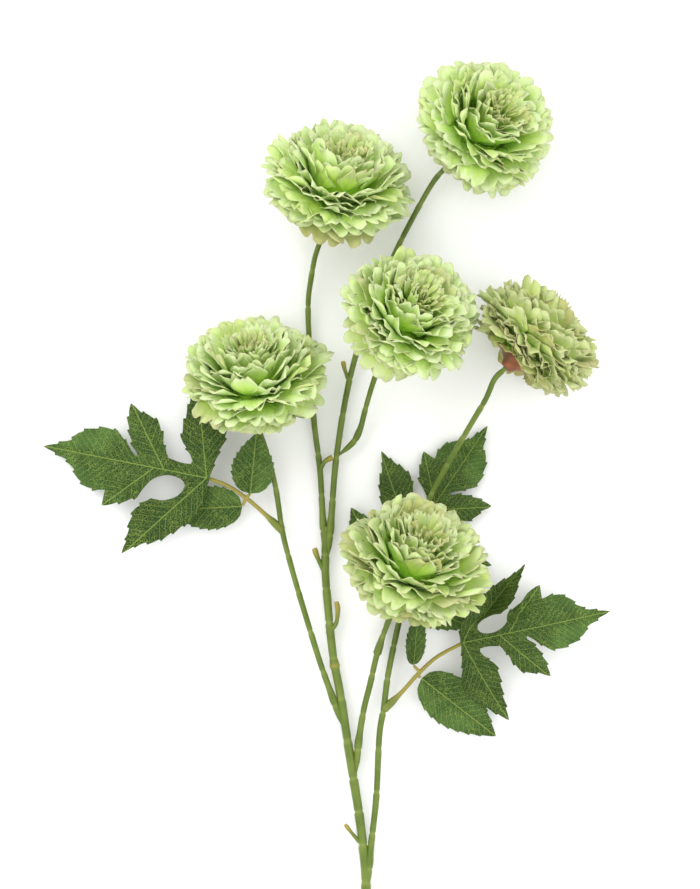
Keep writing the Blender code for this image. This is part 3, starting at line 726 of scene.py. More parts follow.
def lobed_outline():
    """The whole outline of the lobed leaf, with its base at the origin and its tip along +X."""
    points, start = [], LEAF_START
    for through, end, teeth, towards in LEAF_SIDES:
        points.extend(punched_side(start, through, end, teeth, towards))
        points.append(np.array(end, dtype=float))
        start = end
    return points


print("points in the lobed outline:", len(lobed_outline()))

# %% The leaflet's outline
LEAFLET_TEETH = 9
LEAFLET_TOOTH = 1.0
OVAL_START = 0.03  # where the first tooth begins, as a share of the length
OVAL_SPAN = 0.95
OVAL_SKEW = 0.72  # below 1, so that the leaflet is widest nearer its base
OVAL_BLUNT = 0.6
OVAL_TAPER = 0.35
BASE_FADE = 3  # teeth grow to their height over the first third


def oval_outline(length, width):
    """A leaflet: a pointed oval, with its base at the origin and its tip along +X."""
    share, tooth = teeth_along(LEAFLET_TEETH, LEAFLET_TOOTH)
    share = OVAL_START + OVAL_SPAN * share
    half = width / 2 * np.sin(np.pi * share ** OVAL_SKEW) ** (OVAL_BLUNT + OVAL_TAPER * share)
    tooth = tooth * np.clip(np.minimum(share * BASE_FADE, (1 - share) * TOOTH_FADE), 0, 1)
    side = np.stack([share * length, half + tooth], axis=1)
    return [np.zeros(2), *(side * (1, -1)), np.array([length, 0.0]), *side[::-1]]


print("points in a leaflet's outline:", len(oval_outline(40, 20)))

# %% Cut a blade from a flat sheet
SLICE = 1.8  # millimetres between the planes that slice the blade
SHEET_MERGE = 0.02  # points closer than this, in millimetres, become one


def punch(name, outline):
    """Cut the outline from a flat sheet and slice it into small faces."""
    curve = bpy.data.curves.new(name, "CURVE")
    curve.dimensions = "2D"
    curve.fill_mode = "BOTH"
    spline = curve.splines.new("POLY")
    spline.points.add(len(outline) - 1)
    for point, place in zip(spline.points, outline):
        point.co = (place[0] * MM, place[1] * MM, 0.0, 1.0)
    spline.use_cyclic_u = True
    blade = bpy.data.objects.new(name, curve)
    bpy.context.scene.collection.objects.link(blade)
    select_only(blade)
    bpy.ops.object.convert(target="MESH")
    blade = bpy.context.object
    bpy.ops.object.mode_set(mode="EDIT")
    bpy.ops.mesh.select_all(action="SELECT")
    bpy.ops.mesh.remove_doubles(threshold=SHEET_MERGE * MM)
    low, high = np.min(outline, axis=0), np.max(outline, axis=0)
    for axis in (0, 1):
        for cut in np.arange(low[axis] + SLICE, high[axis], SLICE):
            place, normal = [0.0, 0.0, 0.0], [0.0, 0.0, 0.0]
            place[axis], normal[axis] = cut * MM, 1.0
            bpy.ops.mesh.select_all(action="SELECT")
            bpy.ops.mesh.bisect(plane_co=place, plane_no=normal)
    bpy.ops.mesh.select_all(action="SELECT")
    bpy.ops.mesh.quads_convert_to_tris()
    bpy.ops.mesh.normals_make_consistent(inside=False)
    bpy.ops.object.mode_set(mode="OBJECT")
    return blade


blank = punch("lobed_blank", lobed_outline())
print("faces in the flat lobed blade:", len(blank.data.polygons))

# %% [markdown]
# ## Leaf finish
#
# The press leaves a pale midrib in each lobe, side veins that leave it at a slant, and between them a
# fine net that shows as yellow-green lines on dark green. All of it follows the blade, so it is drawn on
# the flat plan of the leaf, which each copy keeps as its UV map. For every place the nodes find the
# nearest rib, how far along it and how far to its side the place is, and the veins follow from these two.

# %% The nearest rib
LOBE_RIBS = (
    ((0, 0), (84, 0)),
    ((0, 0), (15, -50)),
    ((0, 0), (34.5, 45.5)),
    ((22, 0), (44.5, -29.6)),
    ((27, 0), (49.5, 23.7)),
)
LEAFLET_RIBS = (((0, 0), (50, 0)),)


def pick(made, share, a, b):
    """a where share is 0 and b where it is 1."""
    return node(made, "ShaderNodeMix", {"data_type": "FLOAT"}, n0=share, n2=a, n3=b).outputs[0]


def nearest_rib(made, plan, ribs):
    """How far each place is from its nearest rib, how far along that rib it is, and on which side."""
    split = node(made, "ShaderNodeSeparateXYZ", n0=plan)
    x, y = split.outputs[0], split.outputs[1]
    best = None
    for (ax, ay), (bx, by) in ribs:
        length = math.hypot(bx - ax, by - ay)
        dx, dy = (bx - ax) / length, (by - ay) / length
        rx, ry = maths(made, "SUBTRACT", x, ax), maths(made, "SUBTRACT", y, ay)
        along = maths(made, "ADD", maths(made, "MULTIPLY", rx, dx), maths(made, "MULTIPLY", ry, dy))
        side = maths(made, "SUBTRACT", maths(made, "MULTIPLY", ry, dx), maths(made, "MULTIPLY", rx, dy))
        behind = maths(made, "MAXIMUM", maths(made, "MULTIPLY", along, -1.0), 0.0)
        past = maths(made, "MAXIMUM", maths(made, "SUBTRACT", along, length), 0.0)
        away = maths(made, "ADD", maths(made, "ABSOLUTE", side), maths(made, "ADD", behind, past))
        if best is None:
            best = (away, along, side)
        else:
            nearer = maths(made, "LESS_THAN", away, best[0])
            best = tuple(pick(made, nearer, old, new) for old, new in zip(best, (away, along, side)))
    return best


print("ribs of a lobed leaf:", len(LOBE_RIBS))

# %% Leaf material
LEAF_DARK = linear(22, 54, 8)
LEAF_LIGHT = linear(56, 88, 38)
LEAF_DEEP = linear(12, 42, 2)
VEIN = linear(140, 160, 74)
PLAN_SCALE = 100.0  # millimetres to each unit of the UV map
PATCHES = (0.35, 0.7)
DEEP_PART = (28.0, 52.0)  # millimetres from the base, where the deeper green of a lobed leaf fades out
DEEP_SHARE = 0.75
MIDRIB_WIDTH = (0.12, 0.45)
MIDRIB_SHARE = 0.48
VEIN_SPACING = 3.6
VEIN_SLANT = 0.95
VEIN_WANDER = 2.5
VEIN_OFFSET = 0.45  # how far the veins of one side lie from the other side's, as a share of their spacing
VEIN_WIDTH = (0.015, 0.07)
VEIN_SHARE = 0.36
NET_SIZE = 0.95  # cells of the fine net to a millimetre
NET_WIDTH = (0.02, 0.13)
NET_SHARES = (0.22, 0.44)
# Painted shade in the groove along each rib: the millimetres from the rib over which it fades out, and its
# share
GROOVE_SHADE_WIDTH = (0.6, 3.0)
GROOVE_SHADE_SHARE = 0.55
NET_PATCHES = (0.35, 0.65)
NET_RELIEF = 0.35
SHINE_PATCHES = (0.2, 0.8)
ROUGHNESSES = (0.46, 0.60)


def leaf_veins(made, away, along, side, wander):
    """1 on the slanting side veins, and 0 between them."""
    slanted = maths(made, "SUBTRACT", along, maths(made, "MULTIPLY", away, VEIN_SLANT))
    slanted = maths(made, "ADD", slanted, maths(made, "MULTIPLY", wander, VEIN_WANDER))
    other = maths(made, "MULTIPLY", maths(made, "GREATER_THAN", side, 0.0), VEIN_SPACING * VEIN_OFFSET)
    turns = maths(made, "FRACT", maths(made, "DIVIDE", maths(made, "ADD", slanted, other), VEIN_SPACING))
    off = maths(made, "ABSOLUTE", maths(made, "SUBTRACT", turns, 0.5))
    return between(made, off, *VEIN_WIDTH, 1.0, 0.0)


def leaf_material(name, ribs):
    made, shader = new_material(name)
    uv = node(made, "ShaderNodeUVMap", {"uv_map": "plan"}).outputs[0]
    plan = node(made, "ShaderNodeVectorMath", {"operation": "SCALE"}, n0=uv, Scale=PLAN_SCALE).outputs[0]
    away, along, side = nearest_rib(made, plan, ribs)
    wander = node(made, "ShaderNodeTexNoise", Vector=plan, Scale=0.12, Detail=2.0).outputs["Fac"]
    patches = node(made, "ShaderNodeTexNoise", Vector=plan, Scale=0.05, Detail=3.0).outputs["Fac"]
    midrib = between(made, away, *MIDRIB_WIDTH, 1.0, 0.0)
    veins = leaf_veins(made, away, along, side, wander)
    edges = {"feature": "DISTANCE_TO_EDGE"}
    cells = node(made, "ShaderNodeTexVoronoi", edges, Vector=plan, Scale=NET_SIZE).outputs[0]
    net = between(made, cells, *NET_WIDTH, 1.0, 0.0)
    colour = blend_colours(made, between(made, patches, *PATCHES), LEAF_DARK, LEAF_LIGHT)
    if len(ribs) > 1:
        inner = node(made, "ShaderNodeSeparateXYZ", n0=plan).outputs[0]
        colour = blend_colours(made, between(made, inner, *DEEP_PART, DEEP_SHARE, 0.0), colour, LEAF_DEEP)
    # Painted shade along each rib: the blade is darkened there towards its dark green
    groove = between(made, away, *GROOVE_SHADE_WIDTH, GROOVE_SHADE_SHARE, 0.0)
    colour = blend_colours(made, groove, colour, LEAF_DARK)
    net_share = maths(made, "MULTIPLY", net, between(made, wander, *NET_PATCHES, *NET_SHARES))
    colour = blend_colours(made, net_share, colour, VEIN)
    colour = blend_colours(made, maths(made, "MULTIPLY", veins, VEIN_SHARE), colour, VEIN)
    colour = blend_colours(made, maths(made, "MULTIPLY", midrib, MIDRIB_SHARE), colour, VEIN)
    plug(made, shader.inputs["Base Color"], colour)
    plug(made, shader.inputs["Roughness"], between(made, patches, *SHINE_PATCHES, *ROUGHNESSES))
    set_surface(shader, Specular_IOR_Level=0.16)
    ribs_up = maths(made, "ADD", veins, midrib)
    relief = maths(made, "ADD", maths(made, "MULTIPLY", net, NET_RELIEF), ribs_up)
    bump(made, shader, relief, strength=0.35, distance=0.0004)
    return made


lobed_cloth = leaf_material("lobed_leaf_cloth", LOBE_RIBS)
leaflet_cloth = leaf_material("leaflet_cloth", LEAFLET_RIBS)
print("lobed leaf cloth:", len(lobed_cloth.node_tree.nodes), "nodes")

# %% [markdown]
# ## Bending the leaves
#
# Each blade rises gently to both sides of its rib, droops towards its tip, and waves a little at the edge.
# The leaf on the right also has the lobe beside the lower head folded nearly shut. A cloth simulation could
# drape the blades, but these bends also shape the solids, so the fine leaves lie where they do.

# %% Where the leaves and leaflets lie
LEAVES = {
    "left": {"base": (-58.2, 32.5, 12.95), "heading": 169, "size": 1.0, "pitch": -4, "droop": 5.0,
             "folded": False},
    "right": {"base": (70.6, -50.2, 13.75), "heading": 12, "size": 0.86, "pitch": 14, "droop": 20.0,
              "folded": True},
    "hidden": {"base": (44.3, 1.2, 4.35), "heading": 56, "size": 0.82, "pitch": 0, "droop": 0.4,
               "folded": False},
}
LEAFLETS = {
    "left_up": {"base": (-36.3, 24.6, 13.6), "heading": 84, "length": 31, "width": 20.5,
                "rise": 5.0, "roll": 0},
    "left_down": {"base": (-40.4, 18.2, 8.6), "heading": 183, "length": 40, "width": 21,
                  "rise": -3.5, "roll": 0},
    "right_up": {"base": (45.4, -61.4, 12.6), "heading": 84, "length": 29, "width": 15,
                 "rise": 1.5, "roll": 52},
    "right_down": {"base": (49.6, -68.2, 11.4), "heading": -38, "length": 48, "width": 24,
                   "rise": -5.0, "roll": 0},
    "hidden_up": {"base": (34.4, -20.4, 4.0), "heading": 118, "length": 43, "width": 20,
                  "rise": 0.4, "roll": 0},
    "hidden_down": {"base": (41.2, -24.4, 4.0), "heading": -30, "length": 38, "width": 20,
                    "rise": -0.6, "roll": 0},
}
print("leaves:", len(LEAVES), "leaflets:", len(LEAFLETS))

# %% Bend, place and thicken
LEAF_THICK = 0.5
LEAF_SHARP = 40  # degrees between two faces, from which their edge looks sharp
LEAF_FOLD = 0.06
FOLD_WIDTH = 8.0
WAVE_HEIGHT = 0.5
WAVE_RATES = (0.16, 0.23)
WAVE_GROWTH = 2
WAVE_STARTS = 0.3
LOBE_RIB = np.array([0.604, 0.797])
LOBE_CREASE = 0.7
LOBE_SWING = -12
LOBE_FROM = 7.0  # millimetres from the midrib, where the folded lobe starts to turn
LOBE_OVER = 9.0
LOBE_END = 42.0  # millimetres from the base, beyond which the blade isn't folded
LEAFLET_DROOP = 0.5
LEAFLET_WAVE = 0.35
LEAFLET_RATE = 0.35


def store_plan(mesh, places):
    """Keep the flat plan of the blade, in millimetres, as its UV map."""
    layer = mesh.uv_layers.new(name="plan")
    corners = np.zeros(len(mesh.loops), dtype=int)
    mesh.loops.foreach_get("vertex_index", corners)
    layer.data.foreach_set("uv", (places[corners, :2] / PLAN_SCALE).ravel())


def lay(thing, places, base, heading, pitch, roll):
    """Turn the bent blade to its heading, and put it at its base."""
    turn = (Matrix.Rotation(math.radians(heading), 3, "Z") @ Matrix.Rotation(math.radians(-pitch), 3, "Y")
            @ Matrix.Rotation(math.radians(roll), 3, "X"))
    set_points(thing.data, places @ np.array(turn).T + np.array(base))


def finish_blade(thing, node_name):
    thicken(thing, LEAF_THICK)
    bpy.ops.object.shade_smooth_by_angle(angle=math.radians(LEAF_SHARP))
    return declare(thing, node_name)


def fold_lobe(x, y, rise, size):
    """Crease one lobe along its rib, and swing it towards the leaf's tip."""
    side = np.array([-LOBE_RIB[1], LOBE_RIB[0]])
    share = np.clip((y - LOBE_FROM * size) / (LOBE_OVER * size), 0, 1) * (x < LOBE_END * size)
    over = (x * side[0] + y * side[1]) * share
    rise = rise + LOBE_CREASE * np.abs(over)
    shrink = 1 - math.sqrt(1 - LOBE_CREASE ** 2)
    x, y = x - side[0] * over * shrink, y - side[1] * over * shrink
    swing = math.radians(LOBE_SWING)
    swung = (x * math.cos(swing) - y * math.sin(swing), x * math.sin(swing) + y * math.cos(swing))
    return x + (swung[0] - x) * share, y + (swung[1] - y) * share, rise


def bend_lobed(places, spec):
    size, length = spec["size"], LEAF_LENGTH * spec["size"]
    x, y = places[:, 0] * size, places[:, 1] * size
    away = np.hypot(x, y) / length
    rise = LEAF_FOLD * np.minimum(np.abs(y), FOLD_WIDTH * size) - spec["droop"] * away ** 2
    wave = WAVE_HEIGHT * np.sin(WAVE_RATES[0] * x + WAVE_RATES[1] * y)
    rise = rise + wave * np.clip(away * WAVE_GROWTH - WAVE_STARTS, 0, 1)
    if spec["folded"]:
        x, y, rise = fold_lobe(x, y, rise, size)
    return np.stack([x, y, rise], axis=1)


def make_leaf(name, spec, blank):
    thing = copy_of(blank)
    thing.name = thing.data.name = f"lobed_leaf_{name}"
    lay(thing, bend_lobed(points_of(thing.data), spec), spec["base"], spec["heading"], spec["pitch"], 0)
    return finish_blade(thing, f"leaf_{name}")


def make_leaflet(name, spec):
    thing = punch(f"oval_leaflet_{name}", oval_outline(spec["length"], spec["width"]))
    places = points_of(thing.data)
    store_plan(thing.data, places)
    thing.data.materials.append(leaflet_cloth)
    share = places[:, 0] / spec["length"]
    wave = LEAFLET_WAVE * np.sin(LEAFLET_RATE * places[:, 0]) * share
    rise = LEAF_FOLD * np.abs(places[:, 1]) - LEAFLET_DROOP * share ** 2 + wave
    pitch = math.degrees(math.asin(spec["rise"] / spec["length"]))
    bent = np.stack([places[:, 0], places[:, 1], rise], axis=1)
    lay(thing, bent, spec["base"], spec["heading"], pitch, spec["roll"])
    return finish_blade(thing, f"leaflet_{name}")


store_plan(blank.data, points_of(blank.data))
blank.data.materials.append(lobed_cloth)
leaves = [make_leaf(name, spec, blank) for name, spec in LEAVES.items()]
bpy.data.objects.remove(blank)
leaves += [make_leaflet(name, spec) for name, spec in LEAFLETS.items()]
print({thing.name: len(thing.data.polygons) for thing in leaves})

# %% [markdown]
# ## Stems
#
# The stems are moulded in short joints, each a little wider at its upper end, with a groove where the
# next joint begins. A side stem sits in a thicker socket. Each stem is a curve with a round section whose
# radius changes from point to point, turned into a mesh. It could be lofted ring by ring, but a curve
# lays its own rings square to its route. The solids' own stems have the same routes with plainer joints.

# %% Stem material
STEM_GREEN = linear(84, 104, 32)
STEM_BRIGHT = linear(102, 120, 46)
# A painted highlight, paler and yellower, at each joint of the stem
STEM_JOINT_HIGHLIGHT = linear(140, 152, 74)
STEM_TAN = linear(156, 140, 62)
STEM_MOTTLE = (0.35, 0.7)
JOINT_HIGHLIGHT_SHARE = 0.45


def stem_material():
    made, shader = new_material("moulded_stem")
    coords = node(made, "ShaderNodeTexCoord").outputs["Object"]
    mottle = node(made, "ShaderNodeTexNoise", Vector=coords, Scale=90.0, Detail=3.0).outputs["Fac"]
    colour = blend_colours(made, between(made, mottle, *STEM_MOTTLE), STEM_GREEN, STEM_BRIGHT)
    # Painted highlight: each joint is paler where its flared rim meets the next
    joint_highlight = maths(made, "MULTIPLY", attribute(made, "joint"), JOINT_HIGHLIGHT_SHARE)
    colour = blend_colours(made, joint_highlight, colour, STEM_JOINT_HIGHLIGHT)
    colour = blend_colours(made, attribute(made, "pale"), colour, STEM_TAN)
    plug(made, shader.inputs["Base Color"], colour)
    set_surface(shader, Roughness=0.42, Specular_IOR_Level=0.3)
    grain = node(made, "ShaderNodeTexNoise", Vector=coords, Scale=700.0, Detail=2.0).outputs["Fac"]
    bump(made, shader, grain, strength=0.15, distance=0.0003)
    return made


moulded = stem_material()
print("moulded stem:", len(moulded.node_tree.nodes), "nodes")

# %% The routes of the stems
STEMS = {
    "main": {
        "through": [(17.0, -243.0, 2.3), (20.5, -206.0, 3.2), (21.8, -172.0, 5.0),
                    (19.0, -141.8, 6.0), (14.3, -111.4, 6.4), (9.1, -77.8, 6.6), (5.0, -55.0, 6.6),
                    (1.8, -22.0, 6.5), (1.3, -8.0, 6.4), (1.6, 8.0, 6.3)],
        "radius": (2.7, 2.1),
    },
    "to_upper_left": {
        "through": [(1.4, -6.0, 6.2), (0.0, 13.0, 5.6), (-1.4, 37.0, 5.0), (-4.6, 63.5, 4.6),
                    (-7.0, 105.8, 5.4), (-7.2, 121.5, 7.5), (-5.9, 132.0, 10.5),
                    (-3.6, 144.0, 14.5)],
        "radius": (1.9, 1.6), "bloom": "upper_left",
    },
    "to_top_right": {
        "through": [(2.4, -8.0, 6.6), (4.4, 13.0, 7.0), (6.9, 42.8, 7.4), (12.8, 78.5, 7.8),
                    (20.3, 105.8, 8.0), (28.5, 127.0, 8.2), (36.9, 146.5, 8.4), (45.1, 162.8, 8.0),
                    (55.4, 180.9, 7.4), (63.0, 189.5, 8.4)],
        "radius": (2.0, 1.6), "bloom": "top_right",
    },
    "to_middle": {
        "through": [(7.6, 43.5, 7.6), (15.2, 50.2, 8.6), (18.8, 57.0, 10.4), (21.0, 65.2, 12.8),
                    (23.5, 74.3, 16.0), (26.8, 84.2, 20.6)],
        "radius": (1.7, 1.6), "bloom": "middle",
    },
    "to_left": {
        "through": [(10.4, -93.0, 6.6), (5.0, -78.0, 6.8), (-1.4, -60.0, 7.0), (-10.8, -29.5, 7.4),
                    (-16.8, -8.5, 8.0), (-20.3, 6.0, 8.6), (-23.8, 28.5, 9.6), (-28.5, 46.5, 12.2)],
        "radius": (1.9, 1.6), "bloom": "left",
    },
    "to_lower": {
        "through": [(16.8, -116.0, 6.6), (18.0, -101.0, 7.0), (20.7, -84.0, 7.6),
                    (23.8, -71.5, 8.4), (27.4, -55.7, 11.4), (31.6, -43.0, 17.2)],
        "radius": (2.0, 1.7), "bloom": "lower",
    },
    "to_right": {
        "through": [(22.0, -176.0, 5.2), (24.4, -152.0, 6.2), (27.0, -128.0, 6.8),
                    (28.5, -97.5, 7.2), (30.6, -84.0, 7.4), (33.0, -66.0, 7.8), (37.5, -44.0, 8.0),
                    (44.5, -14.0, 8.0), (52.3, 18.0, 8.4), (62.0, 38.0, 13.0), (74.6, 60.0, 24.0),
                    (81.5, 72.0, 32.0)],
        "radius": (2.0, 1.7), "bloom": "right",
    },
}
# Stubs where a twig was snapped off or never grew: the radius, and the places passed
STUBS = {
    "stub_low": (1.0, [(18.3, -150.5, 5.6), (14.5, -146.0, 7.0), (11.3, -141.8, 8.2)]),
    "stub_mid": (1.2, [(2.4, -46.0, 6.8), (6.6, -41.0, 7.6), (7.6, -34.0, 8.4), (6.9, -29.8, 9.0)]),
    "stub_joint": (1.3, [(0.6, -14.0, 6.4), (-2.4, -8.0, 7.4), (-4.2, -3.0, 8.4)]),
    "stub_fork": (1.3, [(-1.5, 36.5, 5.2), (1.0, 40.5, 7.4), (5.0, 43.0, 7.6)]),
    "stub_high": (1.1, [(13.6, 80.5, 7.9), (11.4, 86.0, 9.2), (10.2, 91.0, 10.4)]),
}
STALKS = {
    "left": [(-20.2, 6.0, 8.6), (-29.8, 15.0, 10.0), (-38.5, 22.4, 10.8), (-48.0, 28.6, 11.2),
             (-58.2, 32.5, 11.2)],
    "right": [(30.8, -84.0, 7.4), (39.5, -75.5, 9.0), (47.8, -66.2, 11.0), (57.2, -57.6, 12.0),
              (70.6, -50.2, 12.0)],
    "hidden": [(27.4, -55.7, 11.4), (31.0, -44.5, 5.0), (36.5, -26.0, 2.8), (44.3, 1.2, 2.6)],
}
print("stems:", len(STEMS), "stubs:", len(STUBS), "leaf stalks:", len(STALKS))

# %% One round bar
BAR_MERGE = 0.01  # points closer than this, in millimetres, become one
BAR_SHARP = 50  # degrees between two faces, from which their edge looks sharp


def round_bar(name, path, radii):
    """A bar with a round section, whose radius is given at each point of its path."""
    curve = bpy.data.curves.new(name, "CURVE")
    curve.dimensions = "3D"
    curve.bevel_depth = MM
    curve.bevel_resolution = 2
    curve.use_fill_caps = True
    spline = curve.splines.new("POLY")
    spline.points.add(len(path) - 1)
    for point, place, radius in zip(spline.points, path, radii):
        point.co = (*(place * MM), 1.0)
        point.radius = radius
    bar = bpy.data.objects.new(name, curve)
    bpy.context.scene.collection.objects.link(bar)
    select_only(bar)
    bpy.ops.object.convert(target="MESH")
    bar = bpy.context.object
    bar.data.materials.clear()
    bar.data.materials.append(moulded)
    bpy.ops.object.mode_set(mode="EDIT")
    bpy.ops.mesh.select_all(action="SELECT")
    bpy.ops.mesh.remove_doubles(threshold=BAR_MERGE * MM)
    bpy.ops.mesh.normals_make_consistent(inside=False)
    bpy.ops.object.mode_set(mode="OBJECT")
    bpy.ops.object.shade_smooth_by_angle(angle=math.radians(BAR_SHARP))
    return bar


def tint(bar, path, pale, joint):
    """Give the points of a bar the values of the nearest point of its path."""
    places = points_of(bar.data)
    nearest = np.array([np.argmin(((path - place) ** 2).sum(axis=1)) for place in places])
    set_values(bar.data, "pale", np.asarray(pale)[nearest])
    set_values(bar.data, "joint", np.asarray(joint)[nearest])


print("points of a bar closer than", BAR_MERGE, "mm become one")

# %% Stems and stubs
PATH_STEP = 1.3
JOINT_LENGTH = 19.0
FIRST_JOINT = 6.0  # how far into a joint each stem begins
JOINT_DRIFT = 2.5  # millimetres that a joint comes sooner or later
DRIFT_LENGTH = 17.0
JOINT_WAIST = 0.97  # the radius just past a groove, as a share of the stem's own
JOINT_FLARE = 0.12
GROOVE = 0.16
GROOVE_REACH = 0.8
# How far to either side of a joint's groove its painted highlight reaches, in millimetres
JOINT_HIGHLIGHT_REACH = 0.9
MAIN_SHARE = 0.94  # the main stem's radius without its flares and collar
SIDE_SHARE = 0.82  # and a side stem's, without its flares and socket
ROOT_SHARE = 0.35  # how thin a side stem is where it leaves the stem below it
ROOT_LENGTH = 7.0
SWELL = 0.26
SWELL_PLACE = 15.0  # how far along a side stem its socket is widest
SWELL_REACH = 4.5
COLLAR = (5.75, -62.0)  # where the main stem has a pale collar
COLLAR_REACH = 1.1
COLLAR_RISE = 0.55
COLLAR_PALE = 0.7
CALYX_BASE = -20.0  # where a calyx starts, below the middle of its head
NECK_LENGTH = 8.0
GAP = 0.3
STUB_SHARES = (0, 0.5, 0.85, 1)  # places along a stub
STUB_SHAPE = (1.1, 0.85, 1.15, 0.95)  # and its radius there, as shares of its given one
STUB_PALE = 0.9
STUB_PALE_FROM = 0.35


def jointed_radii(run, radius, side_stem):
    """The radius along a stem: a taper, joints that flare upwards, a groove between them, and a socket. Also
    the painted highlight at each joint.
    """
    base = radius[0] + (radius[1] - radius[0]) * (run / run[-1])
    turns = (run + FIRST_JOINT + JOINT_DRIFT * np.sin(run / DRIFT_LENGTH)) / JOINT_LENGTH
    within = turns % 1.0
    near = np.minimum(within, 1 - within) * JOINT_LENGTH
    factor = JOINT_WAIST + JOINT_FLARE * within ** 3 - GROOVE * np.exp(-(near / GROOVE_REACH) ** 2)
    if side_stem:
        # It leaves the stem below it as a thin root, then swells where its socket holds it
        root = ROOT_SHARE + (1 - ROOT_SHARE) * smoothstep(0.0, ROOT_LENGTH, run)
        factor = factor * SIDE_SHARE * root
        factor = factor + SWELL * np.exp(-((run - SWELL_PLACE) / SWELL_REACH) ** 2)
    else:
        factor = factor * MAIN_SHARE
    return base * factor, np.exp(-(near / JOINT_HIGHLIGHT_REACH) ** 2)


def make_stem(name, spec):
    """The main stem, or a branch up to the calyx of its head."""
    points = list(spec["through"])
    if "bloom" in spec:
        on_head = head_frame(HEADS[spec["bloom"]])
        for drop in (NECK_LENGTH, GAP):
            points.append(tuple(on_head @ Vector((0, 0, CALYX_BASE - drop))))
    path, run = smooth_path(points, PATH_STEP)
    # joint holds the painted highlight at each joint
    radii, joint = jointed_radii(run, spec["radius"], name != "main")
    pale = np.zeros(len(run))
    if name == "main":
        from_collar = np.hypot(path[:, 0] - COLLAR[0], path[:, 1] - COLLAR[1])
        collar = np.exp(-(from_collar / COLLAR_REACH) ** 2)
        radii, pale = radii + COLLAR_RISE * collar, COLLAR_PALE * collar
    bar = round_bar(name, path, radii)
    tint(bar, path, pale, joint)
    return bar


def make_stub(name, radius, points):
    path, run = smooth_path(points, PATH_STEP / 2)
    share = run / run[-1]
    bar = round_bar(name, path, np.interp(share, STUB_SHARES, np.array(STUB_SHAPE) * radius))
    tint(bar, path, STUB_PALE * smoothstep(STUB_PALE_FROM, 1.0, share), np.zeros(len(run)))
    return bar


bars = [make_stem(name, spec) for name, spec in STEMS.items()]
bars += [make_stub(name, radius, points) for name, (radius, points) in STUBS.items()]
print("bars so far:", len(bars))

# %% Leaf stalks, and all of the stems as one piece
STALK_RADIUS = 1.15
STALK_SWELL = 0.95
SOCKET_LENGTH = 9.0
STALK_TAPER = 0.25
STALK_PALE = 0.15
STALK_PALER = 0.55
STALK_PALE_PART = (6.0, 14.0)
LEAFLET_STALK_STEP = 2.0
LEAFLET_STALK_POINTS = 6
LEAFLET_STALK_RADII = (0.95, 0.7)
LEAFLET_STALK_PALE = 0.8


def make_stalk(name, points):
    path, run = smooth_path(points, PATH_STEP)
    swell = STALK_SWELL * np.exp(-(run / SOCKET_LENGTH) ** 4)
    radii = STALK_RADIUS + swell - STALK_TAPER * run / run[-1]
    bar = round_bar(f"stalk_{name}", path, radii)
    pale = STALK_PALE + STALK_PALER * smoothstep(*STALK_PALE_PART, run)
    tint(bar, path, pale, np.zeros(len(run)))
    return bar


def make_leaflet_stalk(name, spec):
    """A short stalk from the nearest place on the leaves' stalks to just below the leaflet's base."""
    near = np.vstack([smooth_path(points, LEAFLET_STALK_STEP)[0] for points in STALKS.values()])
    base = np.array(spec["base"])
    start = near[np.argmin(((near[:, :2] - base[:2]) ** 2).sum(axis=1))]
    end = base - (base - start) / np.linalg.norm(base - start) * 2 * GAP
    path = np.linspace(start, end, LEAFLET_STALK_POINTS)
    radii = np.linspace(*LEAFLET_STALK_RADII, LEAFLET_STALK_POINTS)
    bar = round_bar(f"leaflet_stalk_{name}", path, radii)
    tint(bar, path, np.full(len(path), LEAFLET_STALK_PALE), np.zeros(len(path)))
    return bar


bars += [make_stalk(name, points) for name, points in STALKS.items()]
bars += [make_leaflet_stalk(name, spec) for name, spec in LEAFLETS.items()]
stems = join(bars, "jointed_stems")
places = points_of(stems.data)
places[:, 2] = np.maximum(places[:, 2], 0.0)
set_points(stems.data, places)
declare(stems, "stem")
print("stems:", len(stems.data.polygons), "faces")

# %% [markdown]
# ## Calyces
#
# Under each head a reddish-brown moulded cup holds the petals, and its pointed sepals spread beneath
# them. The cup is drawn up from a ring, widened step by step. It could be spun from its profile, but each
# step here is one extrude and one scale, as by hand. One sepal is shaped from a small grid and copied
# round.

# %% Calyx material
CALYX_DARK = linear(92, 52, 22)
CALYX_LIGHT = linear(150, 84, 48)
CALYX_MOTTLE = (0.3, 0.7)


def calyx_material():
    made, shader = new_material("calyx_brown")
    coords = node(made, "ShaderNodeTexCoord").outputs["Object"]
    mottle = node(made, "ShaderNodeTexNoise", Vector=coords, Scale=160.0, Detail=4.0).outputs["Fac"]
    colour = blend_colours(made, between(made, mottle, *CALYX_MOTTLE), CALYX_DARK, CALYX_LIGHT)
    plug(made, shader.inputs["Base Color"], colour)
    set_surface(shader, Roughness=0.5)
    bump(made, shader, mottle, strength=0.3, distance=0.0004)
    return made


calyx_brown = calyx_material()
print("calyx brown:", len(calyx_brown.node_tree.nodes), "nodes")

# %% The cup and one sepal
# The cup's radius and height at each step, from its foot up
CUP_STEPS = ((3.0, -20.0), (3.6, -19.2), (4.4, -17.4), (6.6, -15.9), (8.3, -14.6), (8.5, -12.8))
CUP_SIDES = 24
SEPAL_START = 6.5  # how far from the axis a sepal leaves the cup
SEPAL_REACH = 14.0
SEPAL_HALF = 3.1
SEPAL_BASE = 0.28  # the part of a sine's half turn that gives the sepal's width
SEPAL_SPAN = 0.70
SEPAL_POWER = 0.9
SEPAL_LEVEL = -14.1
SEPAL_SAG = 0.8
SEPAL_TURN_UP = 1.6
SEPAL_CUP = 0.4


